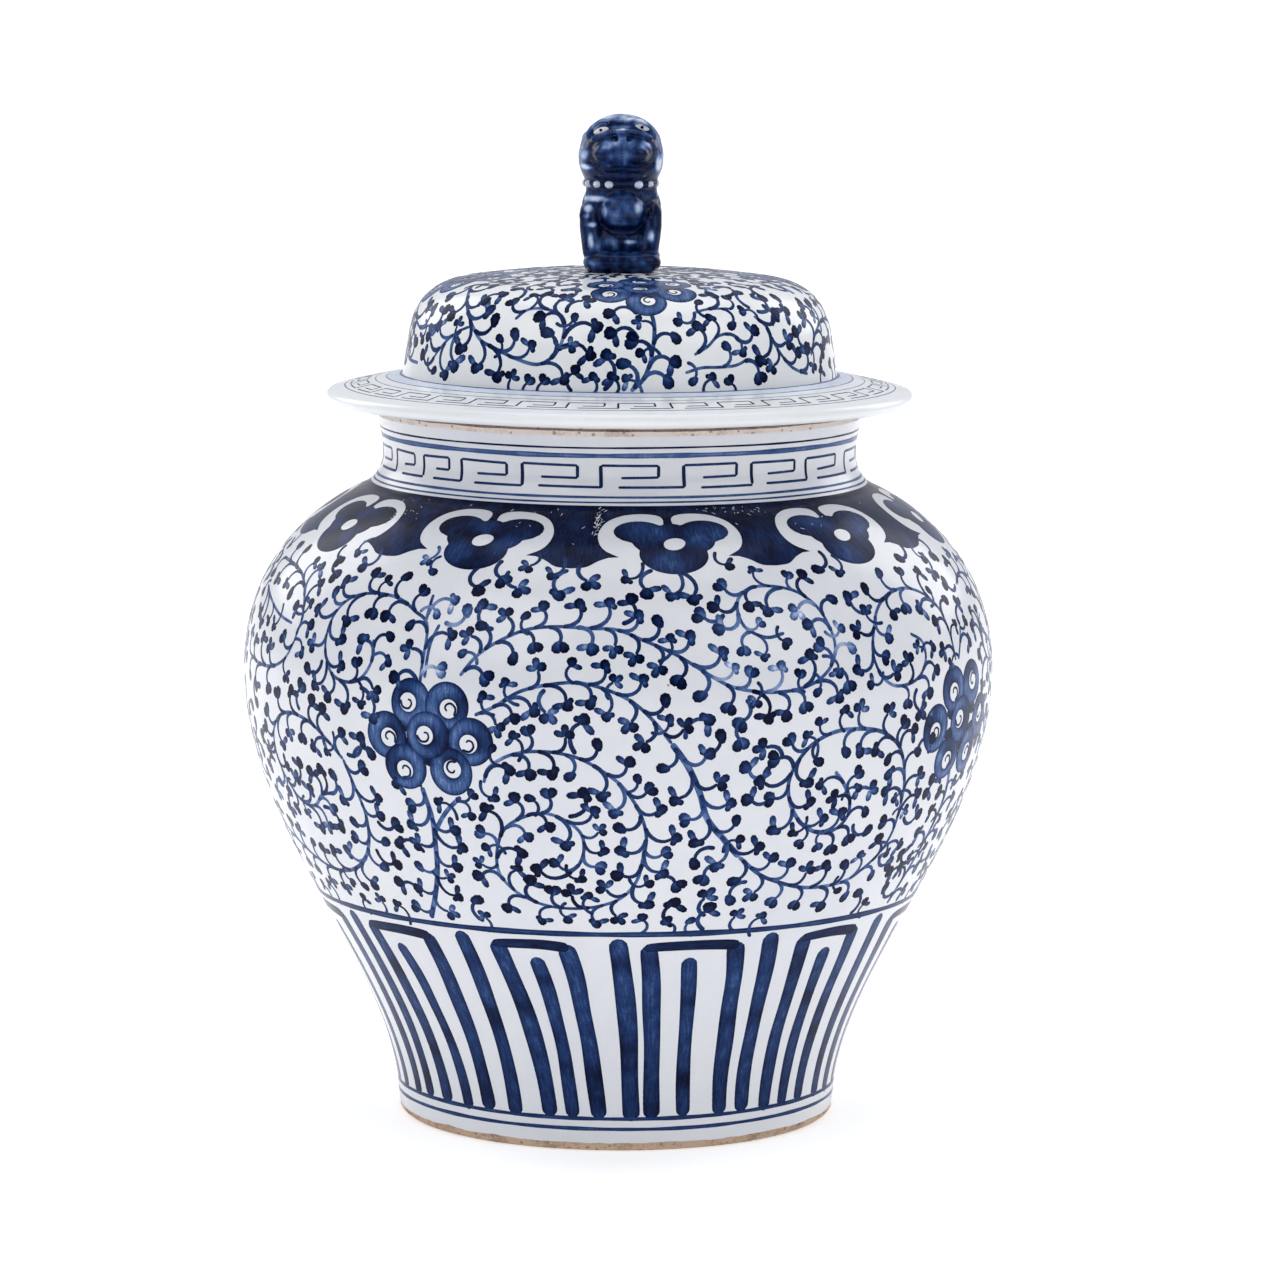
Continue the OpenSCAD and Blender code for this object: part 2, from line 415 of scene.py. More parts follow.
@dataclass(frozen=True)
class Porcelain:
    """White porcelain under a clear, slightly blue glaze."""

    name: str = "porcelain"
    white: Colour = (0.705, 0.718, 0.752)
    shade: Colour = (0.64, 0.662, 0.71)
    speck: Colour = (0.16, 0.07, 0.04)
    speck_grid: float = 45.0
    speck_size: float = 0.00045
    speck_rarity: float = 0.78
    roughness: float = 0.22

    def material(self) -> bpy.types.Material:
        """The finish as a material."""
        paint = Paint(self.name)
        clouds = paint.noise(14.0, 3.0)
        fine = paint.noise(160.0, 2.0)
        tone = paint.math("MULTIPLY_ADD", fine, 0.25, paint.math("MULTIPLY", clouds, 0.9))
        base = paint.ramp(tone, [(0.35, self.shade), (0.72, self.white)])
        cells = paint.add("ShaderNodeTexVoronoi", {
            "Vector": paint.place, "Scale": self.speck_grid})
        size = paint.math("MULTIPLY", paint.noise(30.0, 0.0),
                          self.speck_size * self.speck_grid * 1.6)
        near = paint.math("LESS_THAN", cells["Distance"], size)
        rare = paint.math("GREATER_THAN", paint.add("ShaderNodeSeparateColor", {
            "Color": cells["Color"]})[0], self.speck_rarity)
        share = paint.math("MULTIPLY", paint.math("MULTIPLY", near, rare), 0.75)
        paint.speckle(base, share, self.speck)
        paint.ripple()
        paint.set(Roughness=self.roughness, IOR=1.5, Coat_Weight=0.15, Coat_Roughness=0.08)
        return paint.material


@dataclass(frozen=True)
class Cobalt:
    """Cobalt blue under the glaze, from a thin wash to heaped near-black."""

    name: str = "cobalt_brushwork"
    streaks: float = 0.42
    pools: float = 0.30
    gloss: float = 0.07
    roughness: float = 0.22
    grain: float = 0.16

    def material(self) -> bpy.types.Material:
        """The finish as a material."""
        paint = Paint(self.name)
        ink = paint.add("ShaderNodeAttribute", attribute_name="ink")["Fac"]
        shade = paint.add("ShaderNodeAttribute", attribute_name="shade")["Fac"]
        brush = paint.add("ShaderNodeAttribute", attribute_name="brush")["Vector"]
        drawn = paint.add("ShaderNodeMapping", {"Vector": brush, "Scale": (1.0, 0.16, 1.0)})[0]
        streak = paint.math("SUBTRACT", paint.noise(1.1, 2.0, drawn), 0.5)
        pool = paint.math("SUBTRACT", paint.noise(170.0, 2.0), 0.5)
        grain = paint.math("SUBTRACT", paint.noise(1100.0, 2.0), 0.5)
        # The shade attribute of the leaves also carries the painted highlights of a few patches.
        depth = paint.math("ADD", ink, shade)
        depth = paint.math("MULTIPLY_ADD", streak, self.streaks, depth)
        depth = paint.math("MULTIPLY_ADD", pool, self.pools, depth)
        depth = paint.math("MULTIPLY_ADD", grain, self.grain, depth, use_clamp=True)
        paint.feed(paint.shader["Base Color"], paint.ramp(depth, COBALT_STOPS))
        paint.ripple()
        paint.set(Roughness=self.roughness, IOR=1.5, Specular_IOR_Level=self.gloss)
        return paint.material


@dataclass(frozen=True)
class Biscuit:
    """Bare fired clay, gritty and buff with brown specks."""

    name: str = "biscuit"
    pale: Colour = (0.72, 0.63, 0.57)
    burnt: Colour = (0.45, 0.33, 0.26)
    burning: float = 0.5
    speck: Colour = (0.12, 0.06, 0.035)

    def material(self) -> bpy.types.Material:
        """The finish as a material."""
        paint = Paint(self.name)
        patches = paint.noise(60.0, 5.0)
        grit = paint.noise(900.0, 3.0)
        tone = paint.math("MULTIPLY_ADD", grit, 0.5, paint.math("MULTIPLY", patches, 0.8))
        base = paint.ramp(tone, [(self.burning - 0.12, self.burnt),
                                 (self.burning + 0.14, self.pale)])
        cells = paint.add("ShaderNodeTexVoronoi", {"Vector": paint.place, "Scale": 260.0})
        share = paint.math("MULTIPLY", paint.math("LESS_THAN", cells["Distance"], 0.22), 0.55)
        paint.speckle(base, share, self.speck)
        paint.bump(grit, 0.0004, 0.8)
        paint.set(Roughness=0.85, IOR=1.45)
        return paint.material


COBALT_STOPS = [
    (0.0, (0.60, 0.67, 0.79)),
    (0.2, (0.22, 0.30, 0.50)),
    (0.4, (0.054, 0.110, 0.275)),
    (0.6, (0.0125, 0.037, 0.130)),
    (0.8, (0.0038, 0.0135, 0.060)),
    (1.0, (0.0008, 0.0026, 0.020)),
]


# ---- Brushwork ----

# How far the streaks move on from one stroke to the next, and where they start again.
STROKE_STEP, STROKE_SPAN = 7.31, 97
# Share of a stroke's width that is flat.
FLAT_SHARE = 0.86


def lens_columns(count: int) -> list[float]:
    """Places across a stroke, from -1 to 1, with steep sides and a flat top."""
    inner = [FLAT_SHARE * (2 * j / (count - 3) - 1) for j in range(count - 2)]
    return [-1.0, *inner, 1.0]


def strip_faces(rows: int, columns: int, closed: bool) -> list[list[int]]:
    """Faces of a strip of points and of its underside.

    Args:
        rows: Rows of points along the strip.
        columns: Points in a row.
        closed: True if the last row meets the first.

    Returns:
        The faces as lists of point numbers.
    """
    faces = []
    for i in range(rows if closed else rows - 1):
        near, far = i * columns, (i + 1) % rows * columns
        faces += [[near + j, far + j, far + j + 1, near + j + 1] for j in range(columns - 1)]
        faces.append([near, near + columns - 1, far + columns - 1, far])
    return faces


class Brushwork:
    """Brush strokes as thin closed lenses of paint, laid out flat."""

    def __init__(self, outline: Outline | None, seed: int) -> None:
        """Starts an empty sheet.

        Args:
            outline: The line that the sheet follows, or None for a sheet in plain
                millimetres, as a single leaf is drawn on.
            seed: Start of the random draws.
        """
        self.outline = outline
        self.unit = math.radians(1) if outline else 1.0
        self.verts: list[tuple[float, float, float]] = []
        self.faces: list[list[int]] = []
        self.ink: list[float] = []
        self.brush: list[tuple[float, float, float]] = []
        self.draws = random.Random(seed)
        self.strokes = 0

    def scale_at(self, along: float | np.ndarray) -> float | np.ndarray:
        """Millimetres across for one unit of the first coordinate."""
        if self.outline is None:
            return np.ones_like(along) if isinstance(along, np.ndarray) else 1.0
        return self.outline.radius(along) * self.unit

    def put(self, points: Sequence[tuple[Point, float, float, Point]],
            faces: list[list[int]]) -> None:
        """Adds points and faces to the sheet.

        Args:
            points: Of each point, its place, its lift, its ink from 0 for a wash to 1 for
                near-black, and its place across and along its own stroke.
            faces: Faces as lists of point numbers, from 0.
        """
        first = len(self.verts)
        self.strokes += 1
        own = self.strokes * STROKE_STEP % STROKE_SPAN
        for place, lift, ink, (across, along) in points:
            self.verts.append((place[0] * self.unit, place[1], lift))
            self.ink.append(float(ink))
            self.brush.append((across, along, own))
        self.faces.extend([first + i for i in face] for face in faces)

    def smooth(self, path: Sequence[Point], step: float) -> np.ndarray:
        """A smooth line through the points of a path.

        Args:
            path: The points.
            step: Longest segment, in millimetres.

        Returns:
            The line's points.
        """
        knots = np.array(path, float)
        ghost = np.vstack([2 * knots[0] - knots[1], knots, 2 * knots[-1] - knots[-2]])
        found = []
        for i in range(len(knots) - 1):
            a, b, c, d = ghost[i:i + 4]
            span = (c - b) * [self.scale_at(b[1]), 1]
            parts = max(1, math.ceil(np.hypot(*span) / step))
            for j in range(parts):
                t = j / parts
                found.append(0.5 * (2 * b + (c - a) * t + (2 * a - 5 * b + 4 * c - d) * t * t
                                    + (3 * b - a - 3 * c + d) * t ** 3))
        found.append(knots[-1])
        return np.array(found)

    def stroke(self, path: Sequence[Point], width: float | Callable[[float], float],
               ink: float | Callable[[float], float], lift: float, step: float,
               columns: int = 4, rim: float = 0.14) -> None:
        """Draws a brush stroke with round ends.

        Args:
            path: Points that the stroke follows.
            width: Width, or a function of the share of the stroke's length.
            ink: Ink, or a function of that share.
            lift: Height of the paint over the glaze.
            step: Longest segment along the stroke.
            columns: Points across it.
            rim: Further ink along its edges.
        """
        line = self.smooth(path, step)
        scale = np.stack([self.scale_at(line[:, 1]), np.ones(len(line))], axis=1)
        gaps = np.hypot(*((line[1:] - line[:-1]) * scale[1:]).T)
        run = np.concatenate([[0.0], np.cumsum(gaps)])
        whole = run[-1]
        wide = width if callable(width) else lambda _: width
        dark = ink if callable(ink) else lambda _: ink
        stops = set(np.round(run, 4))
        for share in (0.08, 0.3):
            for end, w in ((0.0, wide(0.0)), (whole, wide(1.0))):
                stops.add(round(abs(end - share * w), 4))
        stops = np.array(sorted(s for s in stops if 0 <= s <= round(whole, 4)))
        places = np.stack([np.interp(stops, run, line[:, k]) for k in (0, 1)], axis=1)
        scale = np.stack([self.scale_at(places[:, 1]), np.ones(len(places))], axis=1)
        heading = np.gradient(places, axis=0) * scale
        heading /= np.maximum(np.linalg.norm(heading, axis=1), 1e-9)[:, None]
        left = np.stack([-heading[:, 1], heading[:, 0]], axis=1)
        points = []
        for i, along in enumerate(stops):
            share = along / whole
            half = wide(share) / 2
            nearest = min(along, whole - along)
            tip = math.sqrt(max(0.0, 1 - (1 - min(1.0, nearest / half)) ** 2))
            for across in lens_columns(columns):
                offset = across * half * max(0.1, tip)
                points.append((places[i] + left[i] * offset / scale[i],
                               SINK if abs(across) == 1 else lift,
                               dark(share) + rim * abs(across) ** 3, (offset, along)))
        faces = strip_faces(len(stops), columns, False)
        faces.append(list(range(columns)))
        end = (len(stops) - 1) * columns
        faces.append([end + j for j in range(columns - 1, -1, -1)])
        self.put(points, faces)

    def annulus(self, centre: Point, inner: Callable[[float], np.ndarray] | None,
                outer: Callable[[float], np.ndarray], ink: Callable[[float, float], float],
                lift: float, spokes: int, rings: Sequence[float]) -> None:
        """A dab of paint, with or without a bare eye in it.

        Args:
            centre: Middle of the dab.
            inner: Edge of the eye in millimetres from the centre, for an angle in radians.
            outer: Edge of the dab, in the same way.
            ink: Ink for an angle and a share of the way from the eye to the edge.
            lift: Height of the paint over the glaze.
            spokes: Points round it.
            rings: Shares of the way at which there are points.
        """
        scale = np.array([self.scale_at(centre[1]), 1.0])
        points = []
        for share in rings:
            for k in range(spokes):
                angle = math.tau * k / spokes
                start = inner(angle) if inner else np.zeros(2)
                offset = start + (outer(angle) - start) * share
                edge = share == 1 or (inner is not None and share == 0)
                points.append((np.array(centre) + offset / scale, SINK if edge else lift,
                               ink(angle, share), tuple(offset)))
        faces = []
        for r in range(len(rings) - 1):
            for k in range(spokes):
                a, b = r * spokes + k, r * spokes + (k + 1) % spokes
                faces.append([a, a + spokes, b + spokes, b])
        outside = (len(rings) - 1) * spokes
        if inner:
            for k in range(spokes):
                a, b = k, (k + 1) % spokes
                faces.append([b, outside + b, outside + a, a])
        else:
            points = [(centre, lift, ink(0.0, 0.0), (0.0, 0.0))] + points[spokes:]
            shrink = [[max(0, i - spokes + 1) for i in face] for face in faces]
            faces = [list(dict.fromkeys(face)) for face in shrink]
            faces.append([outside - spokes + 1 + k for k in range(spokes - 1, -1, -1)])
        self.put(points, faces)

    def dab(self, centre: Point, length: float, width: float, angle: float, ink: float,
            lift: float) -> None:
        """A touch of the brush, fatter and darker at its front.

        Args:
            centre: Middle of the dab.
            length: Length of the dab.
            width: Width of the dab.
            angle: Direction of its length, in degrees.
            ink: Ink at its middle.
            lift: Height of the paint over the glaze.
        """
        spin = math.radians(angle)
        turn = np.array([[math.cos(spin), -math.sin(spin)], [math.sin(spin), math.cos(spin)]])

        def edge(phi: float) -> np.ndarray:
            """Edge of the dab at an angle."""
            fat = 1 + 0.25 * math.cos(phi)
            return turn @ [length / 2 * math.cos(phi), width / 2 * math.sin(phi) * fat]

        self.annulus(centre, None, edge,
                     lambda phi, share: ink - 0.2 + share * (0.24 + 0.2 * math.cos(phi)),
                     lift, 9, (0.0, 0.78, 1.0))

    def ring(self, along: float, width: float, ink: float, lift: float,
             edge_ink: float) -> None:
        """A line all the way round, drawn by a hand that strays a little.

        Args:
            along: Length along the outline at which it lies.
            width: Width of the line.
            ink: Ink at its middle.
            lift: Height of the paint over the glaze.
            edge_ink: Further ink along its edges.
        """
        steps, wander = 300, 0.15
        columns = max(4, round(width) + 3)
        points = []
        phase = self.draws.uniform(0, math.tau)
        for i in range(steps):
            turn = math.tau * i / steps
            stray = wander * (math.sin(3 * turn + phase) + 0.6 * math.sin(7 * turn - phase)) / 1.6
            swell = 1 + 0.1 * math.sin(11 * turn + phase) + 0.06 * math.sin(29 * turn)
            for across in lens_columns(columns):
                place = (turn / self.unit, along + stray + across * width / 2 * swell)
                points.append((place, SINK if abs(across) == 1 else lift,
                               ink + edge_ink * abs(across) ** 2,
                               (across * width / 2, 30 * turn)))
        self.put(points, strip_faces(steps, columns, True))

    def plate(self, loop: np.ndarray, ink: Callable[[float, float], float], lift: float,
              cell: float) -> None:
        """A wash that fills a closed line.

        Args:
            loop: The line's points, anticlockwise.
            ink: Ink at a place.
            lift: Height of the paint over the glaze.
            cell: Distance between the points inside.
        """
        scale = np.array([self.scale_at(loop[:, 1].mean()), 1.0])
        flat = loop * scale
        low, high = flat.min(axis=0), flat.max(axis=0)
        inside = []
        for i in range(1, int((high[0] - low[0]) / cell)):
            for j in range(1, int((high[1] - low[1]) / cell)):
                inside.append((low[0] + cell * (i + 0.5 * (j % 2)), low[1] + cell * j))
        seeds = [Vector(p) for p in flat] + [Vector(p) for p in inside]
        border = [(i, (i + 1) % len(flat)) for i in range(len(flat))]
        found, _, triangles, origins, _, _ = delaunay_2d_cdt(seeds, border, [], 1, 1e-5)
        rim = {i for i, source in enumerate(origins) if any(s < len(flat) for s in source)}
        count = len(found)
        places = np.array([tuple(p) for p in found]) / scale
        top = [(place, lift, ink(*place) + (0.1 if i in rim else 0.0), tuple(found[i]))
               for i, place in enumerate(places)]
        links: dict[tuple[int, int], int] = {}
        faces = []
        for triangle in triangles:
            a, b, c = (np.array(found[i]) for i in triangle)
            area = (b[0] - a[0]) * (c[1] - a[1]) - (b[1] - a[1]) * (c[0] - a[0])
            face = list(triangle) if area > 0 else list(reversed(triangle))
            faces.append(face)
            faces.append([count + i for i in reversed(face)])
            for i, j in zip(face, face[1:] + face[:1]):
                links[(i, j)] = links.get((i, j), 0) + 1
        for i, j in links:
            if (j, i) not in links:
                faces.append([j, i, count + i, count + j])
        self.put(top + [(place, SINK, dark, grain) for place, _, dark, grain in top], faces)

    def mesh(self, name: str) -> bpy.types.Mesh:
        """The sheet as a flat mesh with its ink.

        Args:
            name: Name of the mesh.

        Returns:
            The mesh.
        """
        data = bpy.data.meshes.new(name)
        data.from_pydata(self.verts, [], self.faces)
        data.attributes.new("ink", "FLOAT", "POINT").data.foreach_set("value", self.ink)
        data.attributes.new("brush", "FLOAT_VECTOR", "POINT").data.foreach_set(
            "vector", np.array(self.brush, np.float32).ravel())
        return data


# ---- Making pieces ----


class Workshop:
    """Makes the finished pieces and hides the CAD parts that each one stands for."""

    def __init__(self) -> None:
        """Makes the node trees and the finishes that the pieces share."""
        self.turning = turning_tree()
        self.wrapping = wrapping_tree()
        self.leafing = leafing_tree()
        self.porcelain = Porcelain().material()
        # Painted light: the lid gets a brighter copy of the porcelain, for the extra light that
        # falls on its upward faces.
        self.lid_painted_lighter = Porcelain("lid_porcelain_painted_lighter", (0.80, 0.825, 0.838),
                                   (0.735, 0.762, 0.785)).material()
        self.cobalt = Cobalt().material()
        self.lion_glaze = Cobalt("cobalt_glaze", 0.16, 0.6, 0.14, 0.14).material()
        self.biscuit = Biscuit().material()
        # A near-black finish for the painted shadow that the lid's brim casts on the bare rim.
        self.shadow_paint = Biscuit("shadow_paint", (0.20, 0.14, 0.12), (0.05, 0.03, 0.025), 0.5).material()
        self.foot_clay = Biscuit("foot_clay", (0.50, 0.37, 0.27), (0.17, 0.085, 0.045),
                                 0.52).material()
        self.count = 0

    def grow(self, name: str, data: bpy.types.Mesh, graph: Graph, outline: Outline,
             inputs: dict[str, object]) -> bpy.types.Mesh:
        """Runs a node tree once and keeps its plain result.

        Args:
            name: Name of the piece.
            data: Mesh that the tree starts from.
            graph: The tree.
            outline: The line that the tree follows.
            inputs: Value of each of the tree's other inputs.

        Returns:
            The tree's result in metres.
        """
        line = outline.curve(name + "_outline")
        inputs = {"Outline": line, **inputs}
        helper = bpy.data.objects.new(name + "_work", data)
        bpy.context.scene.collection.objects.link(helper)
        modifier = helper.modifiers.new("work", "NODES")
        modifier.node_group = graph.tree
        for item in graph.tree.interface.items_tree:
            if item.in_out == "INPUT" and item.name in inputs:
                modifier[item.identifier] = inputs[item.name]
        depsgraph = bpy.context.evaluated_depsgraph_get()
        grown = bpy.data.meshes.new_from_object(
            helper.evaluated_get(depsgraph), preserve_all_data_layers=True, depsgraph=depsgraph)
        bpy.data.objects.remove(helper)
        bpy.data.objects.remove(line)
        grown.transform(Matrix.Scale(MM, 4))
        return grown

    def keep(self, name: str, data: bpy.types.Mesh, body: Body, slot: Slot,
             nodes: Sequence[str] = ()) -> None:
        """Makes a finished piece of a mesh that is in its place.

        Args:
            name: Name of the piece.
            data: Its mesh.
            body: The body that it rides on.
            slot: The material slot; not used.
            nodes: The CAD nodes that it stands for.
        """
        data.name = name
        piece = bpy.data.objects.new(name, data)
        bpy.context.scene.collection.objects.link(piece)
        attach(piece, body.value)
        if nodes:
            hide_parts(*nodes)
        self.count += 1
        triangles = sum(len(p.vertices) - 2 for p in data.polygons)
        LOG.info("%s: %d triangles on %s", name, triangles, body.value)

    def turn(self, name: str, section: Sequence[Point], body: Body, slot: Slot,
             nodes: Sequence[str] = (), segments: int = 320,
             material: bpy.types.Material | None = None) -> None:
        """Turns a closed section into a solid piece.

        Args:
            name: Name of the piece.
            section: Radius and height of the section's points.
            body: The body that it rides on.
            slot: Its material slot.
            nodes: The CAD nodes that it stands for.
            segments: Segments round the axis.
            material: Its finish, if it isn't its slot's own.
        """
        line = Outline([*section, section[0]])
        own = {Slot.PORCELAIN: self.porcelain, Slot.BISCUIT: self.biscuit}
        data = self.grow(name, bpy.data.meshes.new(name + "_start"), self.turning, line, {
            "Rows": len(line.points), "Segments": segments, "Material": material or own[slot]})
        shape = bmesh.new()
        shape.from_mesh(data)
        bmesh.ops.recalc_face_normals(shape, faces=shape.faces)
        shape.to_mesh(data)
        shape.free()
        data.shade_smooth()
        data.set_sharp_from_angle(angle=math.radians(28))
        self.keep(name, data, body, slot, nodes)

    def paint(self, name: str, work: Brushwork, body: Body, slot: Slot = Slot.COBALT,
              material: bpy.types.Material | None = None) -> None:
        """Bends a sheet of brushwork round its outline.

        Args:
            name: Name of the piece.
            work: The flat brushwork.
            body: The body that it rides on.
            slot: Its material slot.
            material: Its finish, if it isn't cobalt.
        """
        data = self.grow(name, work.mesh(name + "_flat"), self.wrapping, work.outline, {
            "Material": material or self.cobalt})
        self.keep(name, self.glaze_over(data), body, slot)

    def leaf(self, name: str, vine: "Vine", leaves: bpy.types.Collection, body: Body,
             low: float, high: float) -> None:
        """Puts the leaves of one stretch of a vine in their places.

        Args:
            name: Name of the piece.
            vine: The vine.
            leaves: The drawn leaves to choose from.
            body: The body that it rides on.
            low: Lowest length along the outline.
            high: Highest length along the outline.
        """
        data = self.grow(name, vine.points(name + "_points", low, high), self.leafing,
                         vine.outline, {"Leaves": leaves, "Material": self.cobalt})
        self.keep(name, self.glaze_over(data), body, Slot.COBALT)

    def glaze_over(self, data: bpy.types.Mesh) -> bpy.types.Mesh:
        """Gives paint the normals of the glaze, so that its gloss runs on unbroken."""
        kept = data.attributes["glaze_normal"]
        normals = np.zeros(len(data.vertices) * 3, np.float32)
        kept.data.foreach_get("vector", normals)
        data.attributes.remove(kept)
        data.shade_smooth()
        data.normals_split_custom_set_from_vertices(normals.reshape(-1, 3).tolist())
        return data


# ---- The vine ----


@dataclass(frozen=True)
class LeafShape:
    """One drawn leaf: a hooked stalk with two or three touches at its end.

    The stalk starts at the stem, X runs along the stem and Y away from it.
    """

    stalk: tuple[Point, ...]
    dabs: tuple[tuple[float, float, float, float, float, float], ...]
    head: Point

    def mesh(self, name: str, hand: int, seed: int) -> bpy.types.Mesh:
        """Draws the leaf.

        Args:
            name: Name of the mesh.
            hand: 1, or -1 for a leaf on the other side of its stem.
            seed: Start of the random draws.

        Returns:
            The flat mesh, in millimetres.
        """
        work = Brushwork(None, seed)
        work.stroke([(x, hand * y) for x, y in self.stalk],
                    lambda t: 1.85 - 0.55 * t, lambda t: 0.78 - 0.34 * min(1, 3.2 * t) + 0.2 * t,
                    lift=0.07, step=2.2, rim=0.1)
        for k, (x, y, length, width, angle, ink) in enumerate(self.dabs):
            work.dab((x, hand * y), 0.93 * length, 0.98 * width, hand * angle, ink + 0.1,
                     0.085 + 0.015 * k)
        return work.mesh(name)


LEAF_SHAPES = (
    LeafShape(((0, 0), (2.6, 0.5), (5.2, 2.2), (6.2, 4.8), (5.6, 7.0)),
              ((2.4, 7.9, 6.6, 2.9, 186, 0.55), (5.4, 8.7, 5.4, 4.8, 150, 0.84),
               (6.6, 7.0, 4.0, 3.0, -50, 0.74)), (4.4, 8.1)),
    LeafShape(((0, 0), (2.2, 0.3), (4.6, 1.6), (5.6, 4.0), (5.0, 6.4)),
              ((2.2, 7.2, 6.0, 2.7, 172, 0.58), (5.0, 8.1, 5.6, 5.2, 60, 0.88)), (4.0, 7.8)),
    LeafShape(((0, 0), (2.0, 0.4), (4.0, 2.0), (4.6, 4.6), (4.2, 6.6)),
              ((1.8, 7.4, 5.2, 2.8, 168, 0.5), (3.6, 9.4, 5.0, 3.3, 95, 0.62),
               (5.6, 7.8, 4.8, 3.9, 10, 0.86)), (3.8, 8.2)),
    LeafShape(((0, 0), (3.0, 0.6), (6.0, 2.6), (7.4, 5.4), (7.0, 8.0)),
              ((4.0, 8.9, 6.4, 2.8, 178, 0.52), (7.2, 9.6, 5.2, 4.8, 110, 0.8),
               (8.6, 8.2, 3.4, 2.5, -30, 0.72)), (6.2, 9.0)),
    LeafShape(((0, 0), (1.8, 0.4), (3.8, 2.0), (4.4, 4.2), (4.0, 6.0)),
              ((2.8, 7.6, 5.6, 4.2, 118, 0.68), (5.0, 7.8, 5.2, 4.0, 62, 0.9)), (4.0, 7.8)),
    LeafShape(((0, 0), (2.4, 0.6), (4.4, 2.6), (4.8, 5.0), (4.2, 6.8)),
              ((3.6, 8.0, 6.4, 4.4, 140, 0.8),), (3.7, 8.0)),
)

@dataclass
class Leaf:
    """One leaf in its place."""

    turn: float
    along: float
    spin: float
    size: float
    kind: int
    shade: float


